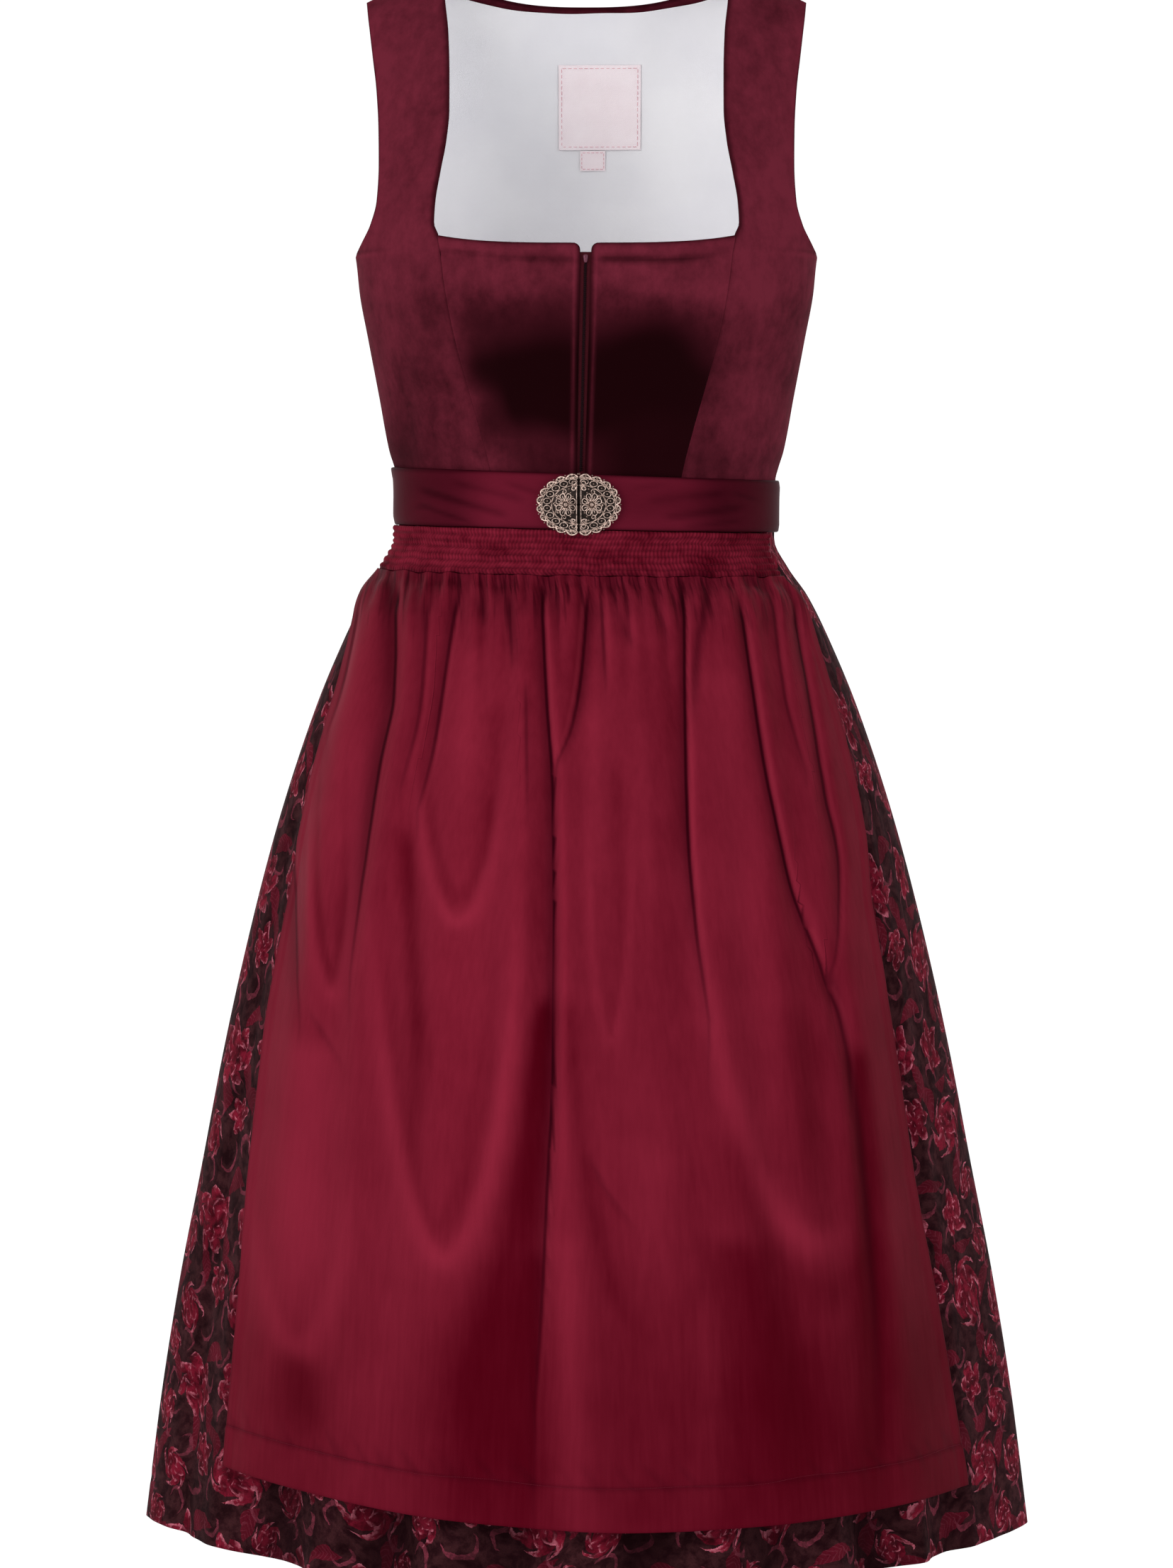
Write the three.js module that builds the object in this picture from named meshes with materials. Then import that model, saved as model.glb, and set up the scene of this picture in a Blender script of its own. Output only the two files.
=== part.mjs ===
// A dirndl worn with its apron: velvet bodice with a front zip, jacquard skirt, and a satin apron with a
// belt, a two-part clasp and a shirred band. Millimetres, +Z up, the front faces -Y and +X is the right of
// someone who looks at the front. The origin lies between the shoulders, level with the top of the straps.
import * as THREE from "three";
import { mergeVertices } from "three/addons/utils/BufferGeometryUtils.js";

// Driving dimensions.
const seamGap = 0.3; // between pieces that meet at a seam
const velvetWall = 2.0;
const liningWall = 1.0;
const liningGap = 3.2; // between the velvet and its lining
const skirtWall = 1.4;
const apronWall = 1.2;
const waistSeam = -366;
const skirtHem = -1076;
const skirtHemTilt = -0.008; // fall of the hem for each millimetre to the right
const underarm = -199;
const neckCorner = -188.5;
const neckHalf = 98; // from the centre to the neck end of each shoulder seam
const shoulderSlope = 0.5; // fall of the shoulder seam for each millimetre outwards
const shoulderFadeLevel = -190; // the shoulder's slope has died out at this level
const backNeckDrop = 23; // fall of the back neckline at its centre
const frontNeckDip = 6; // fall of the front neckline from the strap's corner to the centre
const rightAngle = Math.PI / 2;
const liningInset = 0.03; // the lining ends this angle short of the outer cloth's edges
const liningTop = -1.2; // and at this level under the shoulder seams
const labelGap = 0.7; // between the lining and the labels on it
const labelWall = 0.5;
const seamTurn = 0.02; // closer to a side seam than this cosine, a wall is cut square across the seam

// Sections of the worn form. half is the half width, front and back are the depths from the side seams,
// and round is the power that shapes the plan: 0.5 is an ellipse, and more is leaner at the sides.
const sectionColumns = ["level", "half", "front", "back", "round"];
const sectionRows = [
  [0, 156, 0.6, 0.6, 0.5],
  [-10, 156.5, 24, 42, 0.5],
  [-25, 157, 38, 62, 0.5],
  [-48, 158, 53, 74, 0.5],
  [-75, 159, 68, 82, 0.5],
  [-105, 160, 82, 88, 0.5],
  [-135, 161, 96, 94, 0.5],
  [-160, 162, 106, 98, 0.49],
  [-188, 160, 117, 100, 0.47],
  [-205, 157.5, 121, 100.5, 0.46],
  [-225, 155.5, 122, 100, 0.46],
  [-255, 150, 117, 97, 0.47],
  [-295, 142.5, 105, 93, 0.5],
  [-332, 135.6, 98.3, 90.2, 0.5],
  [-343, 132.2, 96, 89, 0.5],
  [-352, 130, 94.4, 88.2, 0.5],
  [-366, 129.5, 94, 88, 0.5],
  [-392, 129.5, 96, 92, 0.5],
  [-412, 139.2, 103, 101, 0.51],
  [-431, 152.7, 112, 113, 0.53],
  [-470, 171.9, 130, 134, 0.56],
  [-510, 188.4, 146, 153, 0.59],
  [-588, 214.3, 172, 181, 0.65],
  [-667, 235.3, 193, 204, 0.7],
  [-746, 253.2, 210, 223, 0.74],
  [-825, 268.7, 223, 238, 0.77],
  [-905, 284.7, 234, 251, 0.8],
  [-985, 298, 243, 261, 0.83],
  [-1080, 310.6, 251.6, 270.8, 0.85],
];

// Edges of the bodice pieces, as distances from the centre at each level.
const frontSeamRows = [
  [-366, 61],
  [-346, 64.5],
  [-320, 71],
  [-290, 79.5],
  [-258, 88],
  [-225, 94.5],
  [-188.5, 99.5],
  [-180, 102.6],
  [-165, 101.8],
  [-147, 98.8],
  [-124, 94.5],
  [-103, 92.6],
  [-77, 92.7],
  [-50, 93.6],
  [-25, 96.2],
  [0, 98],
];
const armholeRows = [
  [-199, 157.8],
  [-195, 155.2],
  [-188.5, 151.4],
  [-178, 146.6],
  [-160, 142.2],
  [-135, 141],
  [-105, 141.4],
  [-75, 143],
  [-48, 145.8],
  [-25, 148.2],
  [-10, 149.7],
  [0, 150.5],
];
const backSeamRows = [
  [-366, 44],
  [-300, 55],
  [-225, 72],
  [-150, 90],
  [-75, 108],
  [0, 122],
];
const belowArmhole = [-366, -352, -343, -330, -300, -265, -235, -212, -199, -195, -188.5];
const besideArmhole = [-178, -160, -135, -105, -75, -48, -25, -10, 0];
const bodiceLevels = [...belowArmhole, ...besideArmhole];

const zip = {
  top: { level: -200, centre: -0.5, half: 3.7 },
  bottom: { level: -346, centre: -3.8, half: 2.7 },
  cornerRadius: 5,
  tapeHalf: 10,
  tapeWall: 0.8,
  coilHalf: 1.6,
  coilWall: 1.1,
  sliderHalf: 1.8,
  sliderWall: 2.4,
  sliderTop: -202.6,
  sliderBottom: -208,
};

const belt = {
  top: -347.4,
  topTilt: -0.036,
  bottom: -384.9,
  bottomTilt: -0.02,
  wall: 1.8,
  lift: 0.8,
  bulge: 0.7,
  claspGap: 1,
};
const clasp = {
  centre: -4.95,
  level: -367.8,
  half: 28.3,
  height: 21.7,
  slit: 0.45,
  lift: 6,
  wall: 2,
  scallops: 10,
  scallopDepth: 0.05,
};
const band = {
  gapToBelt: 0.5,
  bottom: -416,
  tilt: -0.015,
  wall: 1.6,
  lift: 0.9,
  rows: 7,
  rowDepth: 0.9,
  ribs: 26,
  ribDepth: 0.6,
};
const apron = {
  lift: 2.2,
  hem: -1022,
  hemTilt: -0.035,
  hemSag: 5,
  hemDepth: 28,
  hemStep: 0.8,
  gathers: 24,
  gatherDepth: 3.2,
  gatherFade: 55,
  gatherEnd: 12, // the gathers die out over this distance from the side edges
  ridgeStart: 30, // and the long ridges rise over this distance below the band
  ridgeReach: 0.45,
};

// Side edges of the band and the apron, as shares of the front's width from its centre at each level.
const apronEdgeColumns = ["level", "left", "right"];
const apronEdgeRows = [
  [-385, -0.985, 0.84],
  [-412, -0.985, 0.78],
  [-433, -0.9, 0.78],
  [-470, -0.816, 0.767],
  [-505, -0.782, 0.752],
  [-585, -0.772, 0.732],
  [-643, -0.766, 0.698],
  [-705, -0.762, 0.698],
  [-765, -0.748, 0.701],
  [-825, -0.735, 0.706],
  [-910, -0.71, 0.727],
  [-1030, -0.7, 0.756],
];

// Folds of the skirt. The columns are the place as a share of the half's width from its centre, then the
// width and the depth at the hem.
const skirtFrontFolds = [
  [-0.86, 26, 9],
  [-0.6, 34, 19],
  [-0.36, 30, 22],
  [-0.14, 32, 18],
  [0.1, 28, 22],
  [0.33, 34, 17],
  [0.55, 30, 21],
  [0.75, 28, 15],
  [0.91, 22, 7],
];
const skirtBackFolds = [
  [-0.88, 26, 9],
  [-0.68, 30, 20],
  [-0.47, 34, 24],
  [-0.25, 28, 19],
  [-0.06, 32, 25],
  [0.16, 30, 20],
  [0.37, 34, 23],
  [0.58, 28, 18],
  [0.76, 30, 20],
  [0.91, 22, 8],
];
const foldStart = -372;
const foldGrowth = 0.8; // power of the folds' growth from there to the hem

// Long ridges of the apron. The columns are the place across the apron from 0 at its left edge, the width,
// the depth, and the share of the apron's length at which the ridge is fullest.
const apronRidges = [
  [0.1, 26, 6, 0.35],
  [0.21, 18, 8, 0.2],
  [0.32, 30, 7, 0.5],
  [0.43, 20, 9, 0.25],
  [0.5, 26, 9, 0.55],
  [0.6, 24, 8, 0.3],
  [0.7, 20, 7, 0.45],
  [0.79, 18, 8, 0.25],
  [0.89, 26, 6, 0.5],
];

function finish(colour, roughness, metalness = 0) {
  return new THREE.MeshStandardMaterial({ color: colour, roughness, metalness });
}
const velvet = finish(0x561425, 0.85);
const jacquard = finish(0x4a1a22, 0.65);
const satin = finish(0x741a2c, 0.4);
const beltSatin = finish(0x5c1826, 0.45);
const liningCloth = finish(0xd6d5db, 0.8);
const labelCloth = finish(0xe3d9db, 0.7);
const silver = finish(0x8c7b75, 0.35, 0.9);
const zipPlastic = finish(0x6b4a55, 0.5);

// A smooth function of the first column for the named column of a table: a cubic through its rows, whose
// slope at each row is that of its neighbours, weighted so that it never overshoots a row.
function column(rows, names, name) {
  const at = names.indexOf(name);
  const sorted = [...rows].sort((a, b) => a[0] - b[0]);
  const xs = sorted.map((row) => row[0]);
  const ys = sorted.map((row) => row[at]);
  const secants = xs.slice(1).map((x, i) => (ys[i + 1] - ys[i]) / (x - xs[i]));
  const slopes = xs.map((_, i) => {
    if (i === 0) return secants[0];
    if (i === xs.length - 1) return secants[i - 1];
    const before = secants[i - 1];
    const after = secants[i];
    return before * after <= 0 ? 0 : (2 * before * after) / (before + after);
  });
  return (x) => {
    const clamped = Math.min(Math.max(x, xs[0]), xs[xs.length - 1]);
    let i = 0;
    while (i < xs.length - 2 && clamped > xs[i + 1]) i += 1;
    const span = xs[i + 1] - xs[i];
    const t = (clamped - xs[i]) / span;
    const rise = ys[i + 1] - ys[i];
    const start = slopes[i] * span;
    const end = slopes[i + 1] * span;
    return ys[i] + t * start + t * t * (3 * rise - 2 * start - end) + t * t * t * (start + end - 2 * rise);
  };
}

const halfAt = column(sectionRows, sectionColumns, "half");
const frontAt = column(sectionRows, sectionColumns, "front");
const backAt = column(sectionRows, sectionColumns, "back");
const roundAt = column(sectionRows, sectionColumns, "round");
const edgeColumns = ["level", "distance"];
const frontSeam = column(frontSeamRows, edgeColumns, "distance");
const backSeam = column(backSeamRows, edgeColumns, "distance");
const armhole = column(armholeRows, edgeColumns, "distance");
const apronLeft = column(apronEdgeRows, apronEdgeColumns, "left");
const apronRight = column(apronEdgeRows, apronEdgeColumns, "right");

const mix = (a, b, t) => a + (b - a) * t;
const clamp = (x, low, high) => Math.min(Math.max(x, low), high);

// Fall of the shoulder at a distance from the centre: none inside the neck, then a straight slope that
// fades out towards the underarm.
function shoulderFall(x, level) {
  const fade = clamp(1 - level / shoulderFadeLevel, 0, 1);
  return -shoulderSlope * Math.max(0, Math.abs(x) - neckHalf) * fade;
}

// A point of the worn form at an angle round it, 0 at the front centre and a right angle at the +X side.
function formPoint(angle, level) {
  const x = halfAt(level) * Math.sin(angle);
  const turn = Math.cos(angle);
  const depth = turn >= 0 ? frontAt(level) : backAt(level);
  const y = -Math.sign(turn) * depth * Math.abs(turn) ** (2 * roundAt(level));
  return new THREE.Vector3(x, y, level + shoulderFall(x, level));
}

// The outward normal of the worn form. On the shoulder and side seams it has no part across the seam.
function formNormal(angle, level) {
  const step = 0.004;
  const reach = 0.8;
  const across = formPoint(angle + step, level).sub(formPoint(angle - step, level));
  const up = formPoint(angle, Math.min(level + reach, 0)).sub(formPoint(angle, level - reach));
  const normal = across.cross(up);
  if (level > -0.01 || Math.abs(Math.cos(angle)) < seamTurn) normal.y = 0;
  return normal.normalize();
}

// A point moved out from the worn form by a lift.
function lifted(angle, level, lift) {
  return formPoint(angle, level).addScaledVector(formNormal(angle, level), lift);
}

const angleOf = (x, level) => Math.asin(clamp(x / halfAt(level), -1, 1));

// Angles at even steps of cloth along a front or back half, from -1 at its left seam to 1 at its right one.
const stepsAlong = 80;
const shareTables = new Map();
function shareTable(level) {
  if (!shareTables.has(level)) {
    const lengths = [0];
    for (let i = 1; i <= stepsAlong; i += 1) {
      const from = formPoint((rightAngle * (i - 1)) / stepsAlong, level);
      const to = formPoint((rightAngle * i) / stepsAlong, level);
      lengths.push(lengths[i - 1] + from.distanceTo(to));
    }
    shareTables.set(level, lengths);
  }
  return shareTables.get(level);
}
function angleAtShare(share, level) {
  const lengths = shareTable(level);
  const wanted = Math.min(Math.abs(share), 1) * lengths[stepsAlong];
  let i = 1;
  while (i < stepsAlong && lengths[i] < wanted) i += 1;
  const part = (wanted - lengths[i - 1]) / (lengths[i] - lengths[i - 1]);
  return (Math.sign(share) * rightAngle * (i - 1 + part)) / stepsAlong;
}
const quarterLength = (level) => shareTable(level)[stepsAlong];

// A closed solid from an outer and an inner sheet of points, each a function of a column and a row number.
// The inner sheet may skip rows, and points that coincide are merged.
function wall(name, material, columns, rows, outer, inner, innerStep = 1) {
  const positions = [];
  const index = [];
  const put = (point) => positions.push(point.x, point.y, point.z) / 3 - 1;
  const outerIds = [];
  const innerIds = [];
  for (let row = 0; row <= rows; row += 1) {
    outerIds.push([]);
    for (let i = 0; i <= columns; i += 1) outerIds[row].push(put(outer(i, row)));
  }
  for (let row = 0; row <= rows; row += innerStep) {
    innerIds.push([]);
    for (let i = 0; i <= columns; i += 1) innerIds[innerIds.length - 1].push(put(inner(i, row)));
  }
  const quad = (a, b, c, d) => index.push(a, b, c, a, c, d);
  const last = innerIds.length - 1;
  for (let i = 0; i < columns; i += 1) {
    for (let row = 0; row < rows; row += 1) {
      quad(outerIds[row][i], outerIds[row][i + 1], outerIds[row + 1][i + 1], outerIds[row + 1][i]);
    }
    for (let row = 0; row < last; row += 1) {
      quad(innerIds[row][i + 1], innerIds[row][i], innerIds[row + 1][i], innerIds[row + 1][i + 1]);
    }
    quad(innerIds[0][i], innerIds[0][i + 1], outerIds[0][i + 1], outerIds[0][i]);
    quad(outerIds[rows][i], outerIds[rows][i + 1], innerIds[last][i + 1], innerIds[last][i]);
  }
  for (const [i, flip] of [[0, false], [columns, true]]) {
    const face = (a, b, c) => (flip ? index.push(a, c, b) : index.push(a, b, c));
    for (let row = 0; row < last; row += 1) {
      const near = innerIds[row][i];
      for (let k = row * innerStep; k < (row + 1) * innerStep; k += 1) {
        face(near, outerIds[k][i], outerIds[k + 1][i]);
      }
      face(near, outerIds[(row + 1) * innerStep][i], innerIds[row + 1][i]);
    }
  }
  const loose = new THREE.BufferGeometry();
  loose.setAttribute("position", new THREE.Float32BufferAttribute(positions, 3));
  loose.setIndex(index);
  const geometry = mergeVertices(loose, 1e-3);
  const kept = [];
  for (let i = 0; i < geometry.index.count; i += 3) {
    const [a, b, c] = [0, 1, 2].map((k) => geometry.index.getX(i + k));
    if (a !== b && b !== c && c !== a) kept.push(a, b, c);
  }
  geometry.setIndex(kept);
  geometry.computeVertexNormals();
  const mesh = new THREE.Mesh(geometry, material);
  mesh.name = name;
  return mesh;
}

// A bodice piece between two edge angles, on rows of levels. Its last row follows the given top line, and
// the rows below lean towards it. Half a seam gap is left at each edge.
function bodicePiece(name, spec) {
  const { material = velvet, shares, left, right, top, lift = 0, thickness = velvetWall } = spec;
  const levels = spec.levels ?? bodiceLevels;
  const first = levels[0];
  const last = levels[levels.length - 1];
  const place = (i, row) => {
    const reach = ((levels[row] - first) / (last - first)) ** 2;
    const level = levels[row] + (top ? (top(shares[i]) - last) * reach : 0);
    const from = left(level);
    const to = right(level);
    const width = formPoint(from, level).distanceTo(formPoint(to, level));
    const inset = (seamGap / 2 / width) * (to - from);
    return [mix(from + inset, to - inset, shares[i]), level];
  };
  const outer = (i, row) => lifted(...place(i, row), lift);
  const inner = (i, row) => lifted(...place(i, row), lift - thickness);
  return wall(name, material, shares.length - 1, levels.length - 1, outer, inner);
}

const evenShares = (count) => Array.from({ length: count + 1 }, (_, i) => i / count);
const zipShare = (level) => clamp((level - zip.bottom.level) / (zip.top.level - zip.bottom.level), 0, 1);
const zipCentre = (level) => mix(zip.bottom.centre, zip.top.centre, zipShare(level));
const zipHalf = (level) => mix(zip.bottom.half, zip.top.half, zipShare(level));

// The front neckline: it dips from the strap's corner towards the centre, and turns down in a round
// corner at the zip.
function frontNeckline(x) {
  const dip = neckCorner - frontNeckDip * (1 - (Math.abs(x) / frontSeam(neckCorner)) ** 3);
  const fromZip = Math.abs(x) - zip.top.half;
  const r = zip.cornerRadius;
  return fromZip >= r ? dip : dip - r + Math.sqrt(Math.max(0, r * r - (r - fromZip) ** 2));
}

// The back neckline: a shallow scoop between the neck ends of the shoulder seams.
function backNeckline(x) {
  return -backNeckDrop * (1 - Math.min(Math.abs(x) / neckHalf, 1) ** 2.7);
}

function frontCentre(side, word) {
  const levels = belowArmhole;
  const shares = [0, 0.012, 0.05, 0.14, 0.32, 0.55, 0.8, 1];
  const seam = (level) => angleOf(side * frontSeam(Math.min(level, neckCorner)), level);
  const zipEdge = (level) => angleOf(zipCentre(level) + side * zipHalf(level), level);
  const reach = frontSeam(neckCorner) - zip.top.half;
  if (side > 0) {
    const top = (share) => frontNeckline(zip.top.half + share * reach);
    return bodicePiece(`bodice_front_centre_${word}`, { shares, levels, left: zipEdge, right: seam, top });
  }
  const mirrored = shares.map((share) => 1 - share).reverse();
  const top = (share) => frontNeckline(zip.top.half + (1 - share) * reach);
  const edges = { left: seam, right: zipEdge };
  return bodicePiece(`bodice_front_centre_${word}`, { shares: mirrored, levels, ...edges, top });
}

// The angle of the side seam below the underarm, and of the armhole's edge above it.
const sideAngle = (level) => (level <= underarm ? rightAngle : angleOf(armhole(level), level));

function frontSide(side, word) {
  const inner = (level) => side * angleOf(frontSeam(level), level);
  const outer = (level) => side * sideAngle(level);
  const [left, right] = side > 0 ? [inner, outer] : [outer, inner];
  return bodicePiece(`bodice_front_side_${word}`, { shares: evenShares(5), left, right });
}

function backSide(side, word) {
  const inner = (level) => Math.PI - side * angleOf(backSeam(level), level);
  const outer = (level) => Math.PI - side * sideAngle(level);
  const [left, right] = side > 0 ? [outer, inner] : [inner, outer];
  return bodicePiece(`bodice_back_side_${word}`, { shares: evenShares(5), left, right });
}

function backCentre() {
  const left = (level) => Math.PI - angleOf(backSeam(level), level);
  const right = (level) => Math.PI + angleOf(backSeam(level), level);
  const shares = [0, 0.1, 0.18, 0.27, 0.38, 0.5, 0.62, 0.73, 0.82, 0.9, 1];
  const top = (share) => backNeckline(backSeam(0) * (1 - 2 * share));
  return bodicePiece("bodice_back_centre", { shares, left, right, top });
}

// The lining is one layer inside the whole back, a little short of the outer cloth's edges.
function backLining() {
  const edge = (level) => sideAngle(level) - liningInset;
  const left = (level) => Math.PI - edge(level);
  const right = (level) => Math.PI + edge(level);
  const shares = [0, 0.06, 0.12, 0.18, 0.25, 0.33, 0.42, 0.5, 0.58, 0.67, 0.75, 0.82, 0.88, 0.94, 1];
  const levels = bodiceLevels.map((level) => Math.min(level, liningTop));
  const top = (share) => Math.min(backNeckline(armhole(0) * (1 - 2 * share)) + liningTop / 2, liningTop);
  const cloth = { material: liningCloth, lift: -velvetWall - liningGap, thickness: liningWall };
  return bodicePiece("lining_back", { shares, levels, left, right, top, ...cloth });
}

// A small flat piece on the inside of the back lining, made from the lining's own points moved inwards.
function onLining(name, centre, level, width, height) {
  const depth = velvetWall + liningGap + liningWall + labelGap;
  const columns = 4;
  const rows = 3;
  const place = (i, row) => {
    const at = level + height * (row / rows - 0.5);
    return [Math.PI - angleOf(centre + width * (0.5 - i / columns), at), at];
  };
  const outer = (i, row) => lifted(...place(i, row), -depth);
  const inner = (i, row) => lifted(...place(i, row), -depth - labelWall);
  return wall(name, labelCloth, columns, rows, outer, inner);
}

// A strip that follows the zip down the front, from an inner lift outwards.
function zipStrip(name, material, top, bottom, half, innerLift, height) {
  const levels = [bottom, ...bodiceLevels.filter((level) => level > bottom && level < top), top];
  const place = (i, row) => {
    const level = levels[row];
    return [angleOf(zipCentre(level) + half * (2 * i - 1), level), level];
  };
  const outer = (i, row) => lifted(...place(i, row), innerLift + height);
  const inner = (i, row) => lifted(...place(i, row), innerLift);
  return wall(name, material, 1, levels.length - 1, outer, inner);
}

function zipPieces() {
  const tapeLift = -velvetWall - 0.4 - zip.tapeWall;
  const coilLift = tapeLift + zip.tapeWall + seamGap;
  const tapeTop = zip.top.level - 0.5;
  const tapeBottom = waistSeam + 6;
  const coilTop = zip.sliderBottom - seamGap;
  const { sliderTop, sliderBottom } = zip;
  return [
    zipStrip("zip_tape", velvet, tapeTop, tapeBottom, zip.tapeHalf, tapeLift, zip.tapeWall),
    zipStrip("zip_coil", zipPlastic, coilTop, zip.bottom.level, zip.coilHalf, coilLift, zip.coilWall),
    zipStrip("zip_slider", zipPlastic, sliderTop, sliderBottom, zip.sliderHalf, coilLift, zip.sliderWall),
  ];
}

// How far down the skirt a level is, from 0 where the folds start to 1 at the hem.
const fallen = (level) => clamp((foldStart - level) / (foldStart - skirtHem), 0, 1);

// Depth of the skirt's folds at a share of a half's width: soft troughs that grow from the waist down.
function foldDepth(folds, share, level) {
  const scale = quarterLength(level) / quarterLength(skirtHem);
  return folds.reduce((sum, [at, width, depth]) => {
    const away = ((share - at) * quarterLength(level)) / (width * scale);
    return sum + depth * fallen(level) ** foldGrowth * Math.exp(-away * away);
  }, 0);
}

function skirtHalf(name, folds, facing) {
  const columns = 44;
  const between = [-1000, -900, -790, -680, -580, -500, -445, -412, -400, -388];
  const levels = [skirtHem, ...between, waistSeam - seamGap];
  const place = (i, row) => {
    const inset = seamGap / 2 / quarterLength(levels[row]);
    const share = (1 - inset) * ((2 * i) / columns - 1);
    const turn = angleAtShare(share, levels[row]);
    const angle = facing > 0 ? turn : Math.PI + turn;
    const x = halfAt(levels[row]) * Math.sin(angle);
    const level = levels[row] + skirtHemTilt * x * fallen(levels[row]) ** 2;
    return [angle, level, foldDepth(folds, share, level)];
  };
  const outer = (i, row) => {
    const [angle, level, fold] = place(i, row);
    return lifted(angle, level, -fold);
  };
  const inner = (i, row) => {
    const [angle, level, fold] = place(i, row);
    return lifted(angle, level, -fold - skirtWall);
  };
  return wall(name, jacquard, columns, levels.length - 1, outer, inner);
}

function beltPiece() {
  const columns = 52;
  const rows = 3;
  const place = (i, row) => {
    const middle = angleOf(clasp.centre, clasp.level);
    const ends = belt.claspGap / halfAt(clasp.level);
    const angle = middle + ends + ((2 * Math.PI - 2 * ends) * i) / columns;
    const x = formPoint(angle, clasp.level).x;
    const top = belt.top + belt.topTilt * x;
    const bottom = belt.bottom + belt.bottomTilt * x;
    return [angle, mix(bottom, top, row / rows)];
  };
  const puff = (row) => (row === 0 || row === rows ? 0 : belt.bulge);
  const outer = (i, row) => lifted(...place(i, row), belt.lift + belt.wall + puff(row));
  const inner = (i, row) => lifted(...place(i, row), belt.lift);
  return wall("belt", beltSatin, columns, rows, outer, inner);
}

// Half of the clasp: a scalloped half oval with a raised rim, a hollow ring and a raised rosette.
function claspHalf(side, word) {
  const around = 2 * clasp.scallops;
  const rings = [0, 0.22, 0.42, 0.6, 0.78, 0.92, 1];
  const relief = [0.9, 1.6, 1.2, 0.3, 0.6, 1.2, 0.2];
  const base = clasp.lift;
  const place = (i, row) => {
    const turn = side * (rightAngle - (Math.PI * i) / around);
    const scallop = i % 2 === 0 ? 1 - clasp.scallopDepth : 1;
    const reach = rings[row] * scallop;
    const x = clasp.centre + side * clasp.slit + (clasp.half - clasp.slit) * reach * Math.cos(turn) * side;
    return [x, clasp.level + clasp.height * reach * Math.sin(turn)];
  };
  const at = (x, z, lift) => {
    const point = lifted(angleOf(x, clasp.level), clasp.level, lift);
    point.z = z;
    return point;
  };
  const outer = (i, row) => at(...place(i, row), base + clasp.wall + relief[row]);
  const inner = (i, row) => at(...place(i, row), base);
  return wall(`clasp_${word}`, silver, around, rings.length - 1, outer, inner);
}

// A place across the band or the apron, as an angle of the form at a level.
function acrossApron(share, level) {
  return angleAtShare(mix(apronLeft(level), apronRight(level), share), level);
}

// The shirred band: rows of stitching draw the satin into ridges, crossed by fine upright ribs.
function apronBand() {
  const columns = 2 * band.ribs;
  const rows = 2 * band.rows;
  const place = (i, row) => {
    const share = i / columns;
    const x = formPoint(acrossApron(share, band.bottom), band.bottom).x;
    const top = belt.bottom + belt.bottomTilt * x - band.gapToBelt;
    const level = mix(band.bottom + band.tilt * x, top, row / rows);
    return [acrossApron(share, level), level];
  };
  const outer = (i, row) => {
    const ridge = row % 2 === 1 ? band.rowDepth : 0;
    const rib = i % 2 === 1 ? band.ribDepth : 0;
    return lifted(...place(i, row), band.lift + band.wall + ridge + rib);
  };
  const inner = (i, row) => lifted(...place(i, row), band.lift);
  return wall("apron_band", satin, columns, rows, outer, inner, rows / 2);
}

// Height of the apron's cloth over the skirt: close gathers that die out below the band, and long soft
// ridges that are fullest part of the way down.
function apronRise(share, down, level) {
  const length = (apronRight(level) - apronLeft(level)) * quarterLength(level);
  const below = down * (band.bottom - apron.hem);
  const gather = apron.gatherDepth * Math.exp(-((below / apron.gatherFade) ** 2));
  const wave = 0.5 - 0.5 * Math.cos(2 * Math.PI * apron.gathers * share);
  const ends = Math.min(1, (length * Math.min(share, 1 - share)) / apron.gatherEnd);
  const start = clamp(below / apron.ridgeStart, 0, 1);
  return apronRidges.reduce((sum, [at, width, depth, fullest]) => {
    const away = ((share - at) * length) / width;
    const along = Math.exp(-(((down - fullest) / apron.ridgeReach) ** 2));
    return sum + start * depth * along * Math.exp(-away * away);
  }, gather * wave * ends);
}

function apronPanel() {
  const columns = 3 * apron.gathers;
  const apronLength = band.bottom - apron.hem;
  const hemLine = 1 - apron.hemDepth / apronLength;
  const downs = [1, hemLine + 0.001, hemLine, 0.72, 0.52, 0.34, 0.19, 0.09, 0];
  const place = (i, row) => {
    const share = i / columns;
    const down = downs[row];
    const roughLevel = mix(band.bottom, apron.hem, down);
    const x = formPoint(acrossApron(share, roughLevel), roughLevel).x;
    const top = band.bottom - seamGap + band.tilt * x;
    const bottom = apron.hem + apron.hemTilt * x - apron.hemSag * (1 - (x / halfAt(apron.hem)) ** 2);
    const level = mix(top, bottom, down);
    return [acrossApron(share, level), level, apronRise(share, down, level)];
  };
  const outer = (i, row) => {
    const [angle, level, rise] = place(i, row);
    const hem = downs[row] > hemLine ? apron.hemStep : 0;
    return lifted(angle, level, apron.lift + apronWall + rise + hem);
  };
  const inner = (i, row) => {
    const [angle, level, rise] = place(i, row);
    return lifted(angle, level, apron.lift + rise);
  };
  return wall("apron_panel", satin, columns, downs.length - 1, outer, inner);
}

const dirndl = new THREE.Group();
dirndl.name = "dirndl";
for (const [side, word] of [[-1, "left"], [1, "right"]]) {
  dirndl.add(frontCentre(side, word), frontSide(side, word), backSide(side, word), claspHalf(side, word));
}
dirndl.add(backCentre(), backLining());
dirndl.add(onLining("label", 9.5, -90, 59, 58.8), onLining("size_tab", 4.5, -127, 18.4, 14));
dirndl.add(...zipPieces());
dirndl.add(skirtHalf("skirt_front", skirtFrontFolds, 1), skirtHalf("skirt_back", skirtBackFolds, -1));
dirndl.add(beltPiece(), apronBand(), apronPanel());

export default dirndl;
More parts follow.
